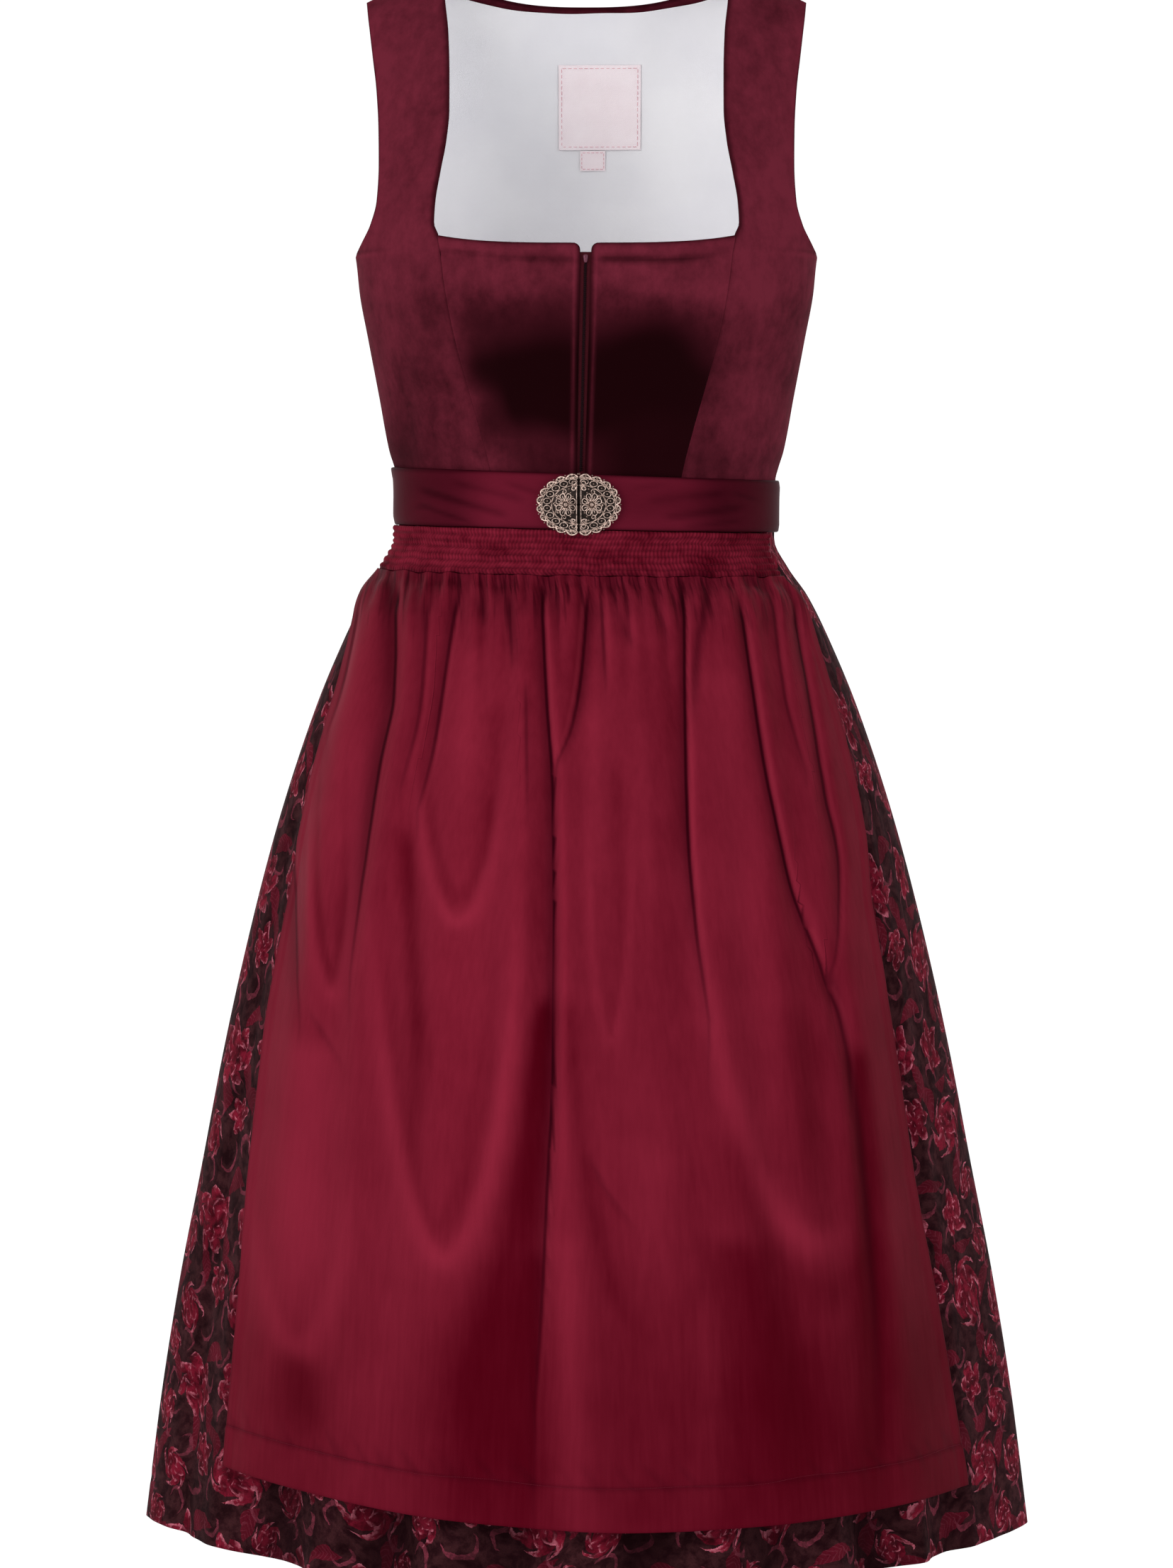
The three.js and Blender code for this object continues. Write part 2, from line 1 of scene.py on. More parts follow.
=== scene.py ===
# A dirndl worn with its apron: velvet bodice, jacquard skirt, satin apron, silver clasp.
# Shapes are worked out in millimetres and put into the meshes in metres.
import math

import bpy
import numpy as np
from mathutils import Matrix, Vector


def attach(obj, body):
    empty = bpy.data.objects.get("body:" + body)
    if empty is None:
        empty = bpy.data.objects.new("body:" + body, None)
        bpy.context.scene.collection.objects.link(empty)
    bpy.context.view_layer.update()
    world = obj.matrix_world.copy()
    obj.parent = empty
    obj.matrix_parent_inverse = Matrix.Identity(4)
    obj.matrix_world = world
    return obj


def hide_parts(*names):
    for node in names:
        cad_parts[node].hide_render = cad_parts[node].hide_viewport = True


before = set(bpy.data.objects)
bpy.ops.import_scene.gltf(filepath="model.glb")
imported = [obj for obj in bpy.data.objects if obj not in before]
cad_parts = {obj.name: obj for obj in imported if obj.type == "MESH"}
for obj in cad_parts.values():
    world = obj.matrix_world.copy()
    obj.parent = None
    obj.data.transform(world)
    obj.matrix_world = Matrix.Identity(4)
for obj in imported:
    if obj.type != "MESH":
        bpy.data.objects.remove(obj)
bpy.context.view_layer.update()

view = bpy.context.scene.view_settings
view.view_transform = "Standard"

mm = 0.001
quarterTurn = math.pi / 2

# ---- the worn form, the same one that the solids follow
# level, half width, depth in front, depth behind, roundness of the plan
sections = [
    (0, 156, 0.6, 0.6, 0.5), (-10, 156.5, 24, 42, 0.5), (-25, 157, 38, 62, 0.5),
    (-48, 158, 53, 74, 0.5), (-75, 159, 68, 82, 0.5), (-105, 160, 82, 88, 0.5),
    (-135, 161, 96, 94, 0.5), (-160, 162, 106, 98, 0.49), (-188, 160, 117, 100, 0.47),
    (-205, 157.5, 121, 100.5, 0.46), (-225, 155.5, 122, 100, 0.46), (-255, 150, 117, 97, 0.47),
    (-295, 142.5, 105, 93, 0.5), (-332, 135.6, 98.3, 90.2, 0.5), (-343, 132.2, 96, 89, 0.5),
    (-352, 130, 94.4, 88.2, 0.5), (-366, 129.5, 94, 88, 0.5), (-392, 129.5, 96, 92, 0.5),
    (-412, 139.2, 103, 101, 0.51), (-431, 152.7, 112, 113, 0.53), (-470, 171.9, 130, 134, 0.56),
    (-510, 188.4, 146, 153, 0.59), (-588, 214.3, 172, 181, 0.65), (-667, 235.3, 193, 204, 0.7),
    (-746, 253.2, 210, 223, 0.74), (-825, 268.7, 223, 238, 0.77), (-905, 284.7, 234, 251, 0.8),
    (-985, 298, 243, 261, 0.83), (-1080, 310.6, 251.6, 270.8, 0.85),
]
# level, distance from the centre
frontSeamRows = [
    (-366, 61), (-346, 64.5), (-320, 71), (-290, 79.5), (-258, 88), (-225, 94.5), (-188.5, 99.5),
    (-180, 102.6), (-165, 101.8), (-147, 98.8), (-124, 94.5), (-103, 92.6), (-77, 92.7),
    (-50, 93.6), (-25, 96.2), (0, 98),
]
armholeRows = [
    (-199, 157.8), (-195, 155.2), (-188.5, 151.4), (-178, 146.6), (-160, 142.2), (-135, 141),
    (-105, 141.4), (-75, 143), (-48, 145.8), (-25, 148.2), (-10, 149.7), (0, 150.5),
]
backSeamRows = [(-366, 44), (-300, 55), (-225, 72), (-150, 90), (-75, 108), (0, 122)]
cut = dict(
    waist=-366, hem=-1076, hemTilt=-0.008, underarm=-199, neckCorner=-188.5, neckHalf=98,
    frontNeckDip=6, backNeckDrop=23, shoulderSlope=0.5, shoulderFade=-190, seamGap=0.3,
)


# A cubic between table rows. Its slope at a row is the harmonic mean of the slopes on both sides, or 0
# where they differ in sign, so it never overshoots.
def smoothCurve(rows, item=1):
    table = np.array(sorted(rows), float)
    xs, ys = table[:, 0], table[:, item]
    secants = np.diff(ys) / np.diff(xs)
    product, total = secants[:-1] * secants[1:], secants[:-1] + secants[1:]
    inner = np.where(product > 0, 2 * product / np.where(product > 0, total, 1), 0)
    slopes = np.concatenate([secants[:1], inner, secants[-1:]])

    def at(x):
        x = np.clip(x, xs[0], xs[-1])
        i = np.clip(np.searchsorted(xs, x) - 1, 0, len(xs) - 2)
        span = xs[i + 1] - xs[i]
        t = (x - xs[i]) / span
        rise = ys[i + 1] - ys[i]
        start, end = slopes[i] * span, slopes[i + 1] * span
        return ys[i] + t * start + t**2 * (3 * rise - 2 * start - end) + t**3 * (start + end - 2 * rise)

    return at


halfAt, frontAt, backAt, roundAt = (smoothCurve(sections, item) for item in (1, 2, 3, 4))
frontSeam, armhole, backSeam = smoothCurve(frontSeamRows), smoothCurve(armholeRows), smoothCurve(backSeamRows)


def mix(a, b, t):
    return a + (b - a) * t


# 0 below the low end, 1 above the high end and 3t^2 - 2t^3 between them.
def ease(low, high, x):
    t = np.clip((x - low) / (high - low), 0, 1)
    return t * t * (3 - 2 * t)


# A bell: e to the minus square of the distance in widths.
def bell(distance, width):
    return np.exp(-((distance / width) ** 2))


# Sum of a few plane waves with uneven directions, wavelengths and phases, about -1 to 1.
def ripples(u, v, size, seed, slant=(0, math.pi), count=7):
    rng = np.random.default_rng(seed)
    total = 0
    for _ in range(count):
        turn = rng.uniform(*slant)
        length = size * rng.uniform(0.6, 1.7)
        phase = rng.uniform(0, 2 * math.pi)
        total = total + np.sin((u * math.cos(turn) + v * math.sin(turn)) * 2 * math.pi / length + phase)
    return total / math.sqrt(count) / 1.3


# Point of the form: x = half * sin(angle), y = -depth * cos(angle) to twice the roundness, z = level plus
# the fall of the shoulder. Angle 0 is the front centre and a quarter turn the right side.
def formPoint(angle, level):
    angle, level = np.broadcast_arrays(np.asarray(angle, float), np.asarray(level, float))
    x = halfAt(level) * np.sin(angle)
    turn = np.cos(angle)
    depth = np.where(turn >= 0, frontAt(level), backAt(level))
    y = -np.sign(turn) * depth * np.abs(turn) ** (2 * roundAt(level))
    fade = np.clip(1 - level / cut["shoulderFade"], 0, 1)
    fall = -cut["shoulderSlope"] * np.maximum(0, np.abs(x) - cut["neckHalf"]) * fade
    return np.stack([x, y, level + fall], axis=-1)


def unit(vectors):
    return vectors / np.maximum(np.linalg.norm(vectors, axis=-1, keepdims=True), 1e-9)


# Outward normal of the form, by central differences. It has no part across the shoulder and side seams.
def formNormal(angle, level):
    step, reach, seamTurn = 0.004, 0.8, 0.02
    across = formPoint(angle + step, level) - formPoint(angle - step, level)
    up = formPoint(angle, np.minimum(level + reach, 0)) - formPoint(angle, level - reach)
    normal = np.cross(across, up)
    onSeam = (level > -0.01) | (np.abs(np.cos(angle)) < seamTurn)
    normal[..., 1] = np.where(onSeam, 0, normal[..., 1])
    return unit(normal)


def lifted(angle, level, lift):
    angle, level, lift = np.broadcast_arrays(angle, level, lift)
    return formPoint(angle, level) + formNormal(angle, level) * lift[..., None]


def angleOf(x, level):
    return np.arcsin(np.clip(x / halfAt(level), -1, 1))


# Tables that turn a share of the cloth from the centre (0) to the side seam (1) into an angle.
levelSteps = np.arange(-1090.0, 1, 2)
turnSteps = np.linspace(0, quarterTurn, 81)
shareSteps = np.linspace(0, 1, 161)
quarterGrid = formPoint(turnSteps[None, :], levelSteps[:, None])
quarterSteps = np.linalg.norm(np.diff(quarterGrid, axis=1), axis=2)
quarterSums = np.concatenate([np.zeros((len(levelSteps), 1)), np.cumsum(quarterSteps, axis=1)], axis=1)
turnTable = np.array([np.interp(shareSteps, row / row[-1], turnSteps) for row in quarterSums])


def quarterLength(level):
    return np.interp(level, levelSteps, quarterSums[:, -1])


# Angle at a share of the cloth: bilinear between the rows of the table.
def angleAtShare(share, level):
    share, level = np.broadcast_arrays(share, level)
    row = np.clip((level - levelSteps[0]) / 2, 0, len(levelSteps) - 1.001)
    place = np.clip(np.abs(share), 0, 1) * (len(shareSteps) - 1.00001)
    i, j = row.astype(int), place.astype(int)
    a, b = row - i, place - j
    low = mix(turnTable[i, j], turnTable[i, j + 1], b)
    high = mix(turnTable[i + 1, j], turnTable[i + 1, j + 1], b)
    return np.sign(share) * mix(low, high, a)


# ---- making meshes
def meshObject(name, points, faces, materials, faceSlots=None, uv=None, marks=None):
    mesh = bpy.data.meshes.new(name)
    mesh.from_pydata((points * mm).tolist(), [], faces.tolist())
    if uv is not None:
        corner = np.zeros(len(mesh.loops), int)
        mesh.loops.foreach_get("vertex_index", corner)
        mesh.uv_layers.new(name="UVMap").data.foreach_set("uv", uv[corner].astype(np.float32).ravel())
    for key, values in (marks or {}).items():
        mark = mesh.attributes.new(key, "FLOAT", "POINT")
        mark.data.foreach_set("value", values.astype(np.float32).ravel())
    for made in materials:
        mesh.materials.append(made)
    if faceSlots is not None:
        mesh.polygons.foreach_set("material_index", faceSlots)
    mesh.polygons.foreach_set("use_smooth", [True] * len(mesh.polygons))
    mesh.update()
    piece = bpy.data.objects.new(name, mesh)
    bpy.context.scene.collection.objects.link(piece)
    return piece


def gridFaces(rows, columns, first=0, closeRows=False, closeColumns=False):
    r = np.arange(rows if closeRows else rows - 1)
    c = np.arange(columns if closeColumns else columns - 1)
    row, column = (a.ravel() for a in np.meshgrid(r, c, indexing="ij"))
    below, beside = (row + 1) % rows, (column + 1) % columns
    corners = [(row, column), (below, column), (below, beside), (row, beside)]
    return first + np.stack([a * columns + b for a, b in corners], axis=1)


# Outward normal of a grid whose rows run down and whose columns run to the right.
def gridNormal(grid):
    return unit(np.cross(np.gradient(grid, axis=0), np.gradient(grid, axis=1)))


# A sheet of cloth as a closed thin shell: the outer grid, an inner one or else the same grid moved in by the
# wall along its normals, and a rim of half circles round the border, squashed to keep inside the seam.
def clothShell(name, outer, inner, materials, uv=None, marks=None, rim=3, bulge=0.35):
    rows, columns = outer.shape[:2]
    if np.isscalar(inner):
        inner = outer - gridNormal(outer) * inner
    ids = np.arange(rows * columns).reshape(rows, columns)
    border = np.concatenate([ids[0, :-1], ids[:-1, -1], ids[-1, :0:-1], ids[:0:-1, 0]])
    top, bottom = outer.reshape(-1, 3)[border], inner.reshape(-1, 3)[border]
    along = np.roll(top, -1, axis=0) - np.roll(top, 1, axis=0)
    edgeNormal = unit(top - bottom)
    out = unit(np.cross(edgeNormal, unit(along))) * -1
    turns = np.pi * np.arange(1, rim) / rim
    middle, radius = (top + bottom) / 2, np.linalg.norm(top - bottom, axis=1)[:, None] / 2
    rings = [middle + radius * (np.cos(t) * edgeNormal + np.sin(t) * bulge * out) for t in turns]
    count = rows * columns
    points = np.concatenate([outer.reshape(-1, 3), inner.reshape(-1, 3), *rings])
    loops = [border, *(2 * count + len(border) * k + np.arange(len(border)) for k in range(len(rings)))]
    loops.append(border + count)
    outerFaces = gridFaces(rows, columns)
    innerFaces = outerFaces[:, ::-1] + count
    rimFaces = [
        np.stack([a, np.roll(a, -1), np.roll(b, -1), b], axis=1) for a, b in zip(loops[:-1], loops[1:])
    ]
    faces = np.concatenate([outerFaces, innerFaces, *rimFaces])
    slots = np.zeros(len(faces), int)
    slots[len(outerFaces) : 2 * len(outerFaces)] = len(materials) - 1

    def spread(values):
        flat = values.reshape(count, -1)
        return np.concatenate([flat, flat, *([flat[border]] * len(rings))])

    uv = None if uv is None else spread(uv)
    marks = {key: spread(np.broadcast_to(value, (rows, columns))) for key, value in (marks or {}).items()}
    return meshObject(name, points, faces, materials, slots.tolist(), uv, marks)


# A round profile carried along a path: circles of the radius in planes across the path, on a frame that
# turns as little as it can about the given up direction.
def tube(path, radius, sides=8, closed=False, up=(0, -1, 0)):
    path = np.asarray(path, float)
    if closed:
        tangent = np.roll(path, -1, axis=0) - np.roll(path, 1, axis=0)
    else:
        tangent = np.gradient(path, axis=0)
    tangent = unit(tangent)
    side = unit(np.cross(tangent, np.asarray(up, float)))
    above = np.cross(side, tangent)
    turn = 2 * np.pi * np.arange(sides) / sides
    radius = np.broadcast_to(radius, (len(path),))[:, None, None]
    cosine, sine = np.cos(turn)[None, :, None], np.sin(turn)[None, :, None]
    ring = cosine * side[:, None] + sine * above[:, None]
    points = (path[:, None] + radius * ring).reshape(-1, 3)
    faces = gridFaces(len(path), sides, closeRows=closed, closeColumns=True)
    if closed:
        return points, faces[:, ::-1]
    ends = np.stack([path[0], path[-1]])
    n, last = len(points), len(points) - sides
    k = np.arange(sides)
    onward = (k + 1) % sides
    first = np.stack([np.full(sides, n), onward, k, k], axis=1)
    final = np.stack([np.full(sides, n + 1), last + k, last + onward, last + onward], axis=1)
    caps = np.concatenate([first, final])
    return np.concatenate([points, ends]), np.concatenate([faces, caps])[:, ::-1]


# Several point and face tables as one.
def joined(parts):
    points, faces, count = [], [], 0
    for p, f in parts:
        points.append(p)
        faces.append(f + count)
        count += len(p)
    return np.concatenate(points), np.concatenate(faces)


# Tubes as one mesh of one material. A face whose last two corners are the same one is a triangle.
def plainObject(name, parts, material):
    points, faces = joined(parts)
    lists = [face[:3] if face[2] == face[3] else face for face in faces.tolist()]
    mesh = bpy.data.meshes.new(name)
    mesh.from_pydata((points * mm).tolist(), [], lists)
    mesh.materials.append(material)
    mesh.polygons.foreach_set("use_smooth", [True] * len(mesh.polygons))
    mesh.update()
    piece = bpy.data.objects.new(name, mesh)
    bpy.context.scene.collection.objects.link(piece)
    return piece


def dress(piece, slot, *nodes):
    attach(piece, "root")
    if nodes:
        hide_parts(*nodes)
    return piece


# Places along a length as shares of it: even at the pitch, and closer together in the last bit at both ends.
def edgeSteps(length, pitch, edge=2.6):
    near = edge * np.array([0, 0.1, 0.28, 0.55, 1])
    count = max(2, round((length - 2 * edge) / pitch))
    middle = np.linspace(edge, length - edge, count + 1)[1:-1]
    return np.concatenate([near, middle, length - near[::-1]]) / length


# ---- material nodes
def add(tree, kind, inputs=None, out=0, **settings):
    made = tree.nodes.new("ShaderNode" + kind)
    for key, value in settings.items():
        setattr(made, key, value)
    for key, value in (inputs or {}).items():
        if isinstance(value, bpy.types.NodeSocket):
            tree.links.new(value, made.inputs[key])
        else:
            made.inputs[key].default_value = value
    return made.outputs[out]


def calc(tree, operation, *values):
    return add(tree, "Math", dict(enumerate(values)), operation=operation)


def blend(tree, share, a, b, mode="MIX"):
    return add(tree, "Mix", {0: share, 6: a, 7: b}, out=2, data_type="RGBA", blend_type=mode)


def ramp(tree, value, low, high, a=0.0, b=1.0):
    inputs = {"Value": value, "From Min": low, "From Max": high, "To Min": a, "To Max": b}
    return add(tree, "MapRange", inputs, interpolation_type="SMOOTHSTEP")


def noise(tree, place, scale, detail=2.0, rough=0.5):
    return add(tree, "TexNoise", {"Vector": place, "Scale": scale, "Detail": detail, "Roughness": rough})


def stretched(tree, place, size):
    return add(tree, "Mapping", {"Vector": place, "Scale": size})


def rgb(red, green, blue):
    channels = np.array([red, green, blue]) / 255
    linear = np.where(channels <= 0.04045, channels / 12.92, ((channels + 0.055) / 1.055) ** 2.4)
    return (*linear.tolist(), 1.0)


def newMaterial(name):
    made = bpy.data.materials.new(name)
    made.use_nodes = True
    tree = made.node_tree
    tree.nodes.clear()
    return made, tree, add(tree, "TexCoord", out="Object")


def finishMaterial(tree, colour, shader, height=None, bump=0.2, depth=0.0002):
    inputs = {"Base Color": colour, **shader}
    if height is not None:
        inputs["Normal"] = add(tree, "Bump", {"Height": height, "Strength": bump, "Distance": depth})
    output = tree.nodes.new("ShaderNodeOutputMaterial")
    tree.links.new(add(tree, "BsdfPrincipled", inputs), output.inputs["Surface"])


# Crossed threads: the product of two sine waves over the place, at the given number of threads a metre.
def weave(tree, place, threads):
    parts = tree.nodes.new("ShaderNodeSeparateXYZ")
    tree.links.new(place, parts.inputs[0])
    waves = [calc(tree, "SINE", calc(tree, "MULTIPLY", parts.outputs[k], threads * math.pi)) for k in (0, 2)]
    return calc(tree, "MULTIPLY", *waves)


# deep and lit: the velvet's colours in painted shade and in painted light
velvetLook = dict(deep=rgb(18, 0, 2), lit=rgb(98, 30, 45), brush=1.05, patches=0.5, pile=2600)


# Velvet: the painted light mark paints light and shade, from deep in the shade to lit, broken by brushed
# mottling where it is lit.
def velvetMaterial():
    made, tree, place = newMaterial("velvet")
    paintedLight = add(tree, "Attribute", out="Fac", attribute_name="paintedLight")
    brushed = noise(tree, stretched(tree, place, (1, 1, 0.8)), 90, 6, 0.7)
    patches = noise(tree, place, 24, 4, 0.62)
    uneven = calc(tree, "MULTIPLY", calc(tree, "SUBTRACT", brushed, 0.5), velvetLook["brush"])
    uneven = calc(tree, "MULTIPLY_ADD", calc(tree, "SUBTRACT", patches, 0.5), velvetLook["patches"], uneven)
    tone = calc(tree, "MULTIPLY_ADD", uneven, ramp(tree, paintedLight, 0.05, 0.6), paintedLight)
    colour = blend(tree, tone, velvetLook["deep"], velvetLook["lit"])
    pile = noise(tree, place, velvetLook["pile"], 2, 0.7)
    shader = {
        "Roughness": 0.9, "Specular IOR Level": 0.03, "Sheen Weight": 0.03, "Sheen Roughness": 0.4,
        "Sheen Tint": rgb(190, 80, 104),
    }
    finishMaterial(tree, colour, shader, pile, 0.35, 0.0003)
    return made


liningLook = dict(cloth=rgb(234, 233, 236), shade=rgb(225, 224, 229))


# Lining: plain pale cotton with a faint cloudiness and a fine weave.
def liningMaterial():
    made, tree, place = newMaterial("lining")
    cloud = noise(tree, place, 11, 3, 0.5)
    colour = blend(tree, ramp(tree, cloud, 0.3, 0.7), liningLook["shade"], liningLook["cloth"])
    shader = {"Roughness": 0.9, "Specular IOR Level": 0.2}
    finishMaterial(tree, colour, shader, weave(tree, place, 1800), 0.15)
    return made


# Label ribbon: close ribs across pale pink satin.
def labelMaterial():
    made, tree, place = newMaterial("labelRibbon")
    colour = blend(tree, noise(tree, place, 60, 2), rgb(238, 222, 227), rgb(246, 236, 240))
    finishMaterial(tree, colour, {"Roughness": 0.55}, weave(tree, place, 1400), 0.3)
    return made


# colours of the satin: crimson and dark in painted shade, rose and lit in painted light; gleam tints the
# gloss
satinLook = dict(
    shadeCrimson=rgb(70, 2, 15), litRose=rgb(128, 32, 51), dark=rgb(32, 1, 8), lit=rgb(138, 38, 56), threads=1500,
    gleam=rgb(110, 14, 32),
)


# Satin: deep crimson in painted shade and rose in painted light, by the lit mark, darker by the deep mark,
# painted shade inside the folds, with faint streaks along the warp. A pressed crease draws a painted shade
# line where the aside mark is 0 and a painted highlight beside it. Under a gathered seam narrow streaks of
# painted shade and painted light fade with v.
def satinMaterial(name, look, streak=(260, 260, 6), gloss=0.48, metallic=0.16, creased=False):
    made, tree, place = newMaterial(name)
    lit = add(tree, "Attribute", out="Fac", attribute_name="lit")
    deep = add(tree, "Attribute", out="Fac", attribute_name="deep")
    streaks = noise(tree, stretched(tree, place, streak), 1.0, 3, 0.6)
    cloudy = noise(tree, place, 16, 3, 0.55)
    lean = calc(tree, "MULTIPLY_ADD", calc(tree, "SUBTRACT", cloudy, 0.5), 0.3, lit)
    lean = calc(tree, "MULTIPLY_ADD", calc(tree, "SUBTRACT", streaks, 0.5), 0.22, lean)
    colour = blend(tree, ramp(tree, lean, -0.1, 1.1), look["shadeCrimson"], look["litRose"])
    colour = blend(tree, deep, colour, look["dark"])
    if creased:
        aside = add(tree, "Attribute", out="Fac", attribute_name="aside")
        pressed = add(tree, "Attribute", out="Fac", attribute_name="pressed")
        # painted shade: a dark line along each pressed crease
        line = calc(tree, "MULTIPLY", ramp(tree, calc(tree, "ABSOLUTE", aside), 1.7, 0.2), pressed)
        colour = blend(tree, calc(tree, "MULTIPLY", line, 0.85), colour, look["dark"])
        # painted highlight beside the crease
        beside = ramp(tree, calc(tree, "ABSOLUTE", calc(tree, "SUBTRACT", aside, 3.0)), 2.2, 0.0)
        lit = calc(tree, "MULTIPLY", calc(tree, "MULTIPLY", beside, pressed), 0.3)
        colour = blend(tree, lit, colour, look["lit"])
        cloth = add(tree, "UVMap", uv_map="UVMap")
        parts = tree.nodes.new("ShaderNodeSeparateXYZ")
        tree.links.new(cloth, parts.inputs[0])
        # narrow streaks of painted shade in the gathers' troughs and painted light on their tops, fading down
        # the cloth
        for across, down, fade, strength in ((330, 22, 0.06, 0.6), (700, 50, 0.026, 0.6)):
            pleat = noise(tree, stretched(tree, cloth, (across, down, 1)), 1.0, 2, 0.5)
            shown = ramp(tree, parts.outputs[1], fade, 0.0, 0.0, strength)
            dip = calc(tree, "MULTIPLY", ramp(tree, pleat, 0.52, 0.66), shown)
            colour = blend(tree, dip, colour, look["dark"])
            rise = calc(tree, "MULTIPLY", ramp(tree, pleat, 0.44, 0.3), calc(tree, "MULTIPLY", shown, 0.3))
            colour = blend(tree, rise, colour, look["lit"])
    shader = {
        "Roughness": gloss, "Metallic": metallic, "Specular IOR Level": 0.018, "Specular Tint": look["gleam"],
    }
    finishMaterial(tree, colour, shader, weave(tree, place, look["threads"]), 0.08, 0.0001)
    return made


# the belt's colours: crimson and dark in painted shade, rose in painted light; gleam tints the gloss
beltLook = dict(
    shadeCrimson=rgb(68, 11, 24), litRose=rgb(95, 22, 39), dark=rgb(40, 4, 12), threads=1500, gleam=rgb(110, 20, 36)
)


# The jacquard's repeat, in millimetres before its scale. Flowers are (x, y, radius, petals, turn, twist),
# leaves are (x, y, length, width, turn, bend) and curls are (x, y, radius, thickness, turn, part of the
# circle).
jacquardLook = dict(
    width=104.0, height=92.0, scale=1.25,
    ground=rgb(54, 27, 30), shadow=rgb(34, 13, 17), leaf=rgb(86, 15, 30), petal=rgb(110, 21, 39),
    heart=rgb(70, 10, 22), line=rgb(176, 94, 110), curl=rgb(104, 42, 55),
    flowers=[
        (24, 20, 19, 6, 0.3, 1.9), (76, 62, 20, 7, 1.1, -1.8), (62, 14, 13, 5, 0.8, 1.7),
        (18, 66, 14, 5, 2.0, -1.9), (46, 46, 12, 5, 0.4, 1.6), (92, 28, 13, 6, 1.4, -1.7),
        (44, 80, 11, 5, 2.7, 1.8),
    ],
    leaves=[
        (46, 27, 13, 5, 0.9, 0.03), (4, 38, 12, 5, 2.2, -0.04), (56, 70, 11, 4.5, -0.9, 0.04),
        (98, 84, 12, 5, 0.2, 0.03), (76, 38, 12, 4.5, 1.9, -0.03), (30, 88, 11, 4.5, 1.2, 0.04),
        (98, 50, 11, 4.5, -1.2, 0.04), (24, 44, 10, 4, 0.1, -0.04),
    ],
    curls=[
        (58, 36, 9, 1.5, 0.2, 0.3), (10, 50, 8, 1.3, 1.9, 0.34), (34, 60, 8, 1.3, 3.0, 0.3),
        (84, 8, 9, 1.5, 4.2, 0.3), (96, 70, 7, 1.2, 5.0, 0.34), (62, 88, 8, 1.3, 2.4, 0.3),
        (4, 10, 8, 1.4, 0.9, 0.32), (70, 28, 6, 1.1, 3.6, 0.36), (38, 4, 7, 1.2, 5.6, 0.32),
        (6, 84, 7, 1.2, 4.4, 0.34), (86, 44, 6, 1.1, 0.6, 0.36), (50, 60, 6, 1.1, 1.4, 0.36),
    ],
)


# Place in the nearest copy of a motif: each coordinate less the motif's, wrapped to half a repeat.
def nearest(tree, u, v, x, y):
    found = []
    for coordinate, centre, size in ((u, x, jacquardLook["width"]), (v, y, jacquardLook["height"])):
        share = calc(tree, "FRACT", calc(tree, "MULTIPLY_ADD", coordinate, 1 / size, 0.5 - centre / size))
        found.append(calc(tree, "MULTIPLY_ADD", share, size, -size / 2))
    return found


def polar(tree, x, y):
    radius = calc(tree, "SQRT", calc(tree, "MULTIPLY_ADD", x, x, calc(tree, "MULTIPLY", y, y)))
    return radius, calc(tree, "ARCTAN2", y, x)


# A flower: rings of sickle petals. The turn round it grows with the radius, its fraction in petals gives
# each petal's place, and a petal's edge falls with the square root of that place. Light strokes run along
# the leading edges.
def flowerNodes(tree, u, v, x, y, size, petals, turn, twist):
    r, angle = polar(tree, *nearest(tree, u, v, x, y))
    body, line = None, None
    for reach, lead, wind in ((1.0, 0.0, twist), (0.66, 0.4, -twist), (0.36, 0.8, twist)):
        petal = calc(tree, "MULTIPLY_ADD", r, wind / size / (2 * math.pi) * petals, lead + turn)
        place = calc(tree, "FRACT", calc(tree, "MULTIPLY_ADD", angle, petals / (2 * math.pi), petal))
        edge = calc(tree, "SQRT", calc(tree, "SUBTRACT", 1.0, place))
        edge = calc(tree, "MULTIPLY_ADD", edge, 0.5 * size * reach, 0.5 * size * reach)
        share = calc(tree, "DIVIDE", r, edge)
        inside = calc(tree, "LESS_THAN", share, 1.0)
        stroke = ramp(tree, place, 0.24, 0.05)
        stroke = calc(tree, "MULTIPLY", stroke, ramp(tree, share, 0.45, 0.85))
        rim = calc(tree, "COMPARE", share, 0.94, 0.06)
        rim = calc(tree, "MULTIPLY", rim, ramp(tree, place, 0.5, 0.2, 0.0, 0.6))
        mark = calc(tree, "MULTIPLY", calc(tree, "MAXIMUM", stroke, rim), inside)
        body = inside if body is None else calc(tree, "MAXIMUM", body, inside)
        line = mark if line is None else calc(tree, "MAXIMUM", line, mark)
    return body, line


# A leaf: its half width falls with the square of the place along it, its middle bends as a parabola, and
# slanted bars make it look feathered.
def leafNodes(tree, u, v, x, y, length, width, turn, bend):
    dx, dy = nearest(tree, u, v, x, y)
    c, s = math.cos(turn), math.sin(turn)
    along = calc(tree, "MULTIPLY_ADD", dx, c, calc(tree, "MULTIPLY", dy, s))
    across = calc(tree, "MULTIPLY_ADD", dy, c, calc(tree, "MULTIPLY", dx, -s))
    square = calc(tree, "MULTIPLY", along, along)
    across = calc(tree, "ABSOLUTE", calc(tree, "MULTIPLY_ADD", square, bend, across))
    half = calc(tree, "MAXIMUM", calc(tree, "MULTIPLY_ADD", square, -width / length**2, width), 0.01)
    inside = calc(tree, "LESS_THAN", calc(tree, "DIVIDE", across, half), 1.0)
    bars = calc(tree, "FRACT", calc(tree, "MULTIPLY_ADD", across, 0.3, calc(tree, "MULTIPLY", along, 0.34)))
    return inside, calc(tree, "MULTIPLY", inside, ramp(tree, bars, 0.72, 0.9))


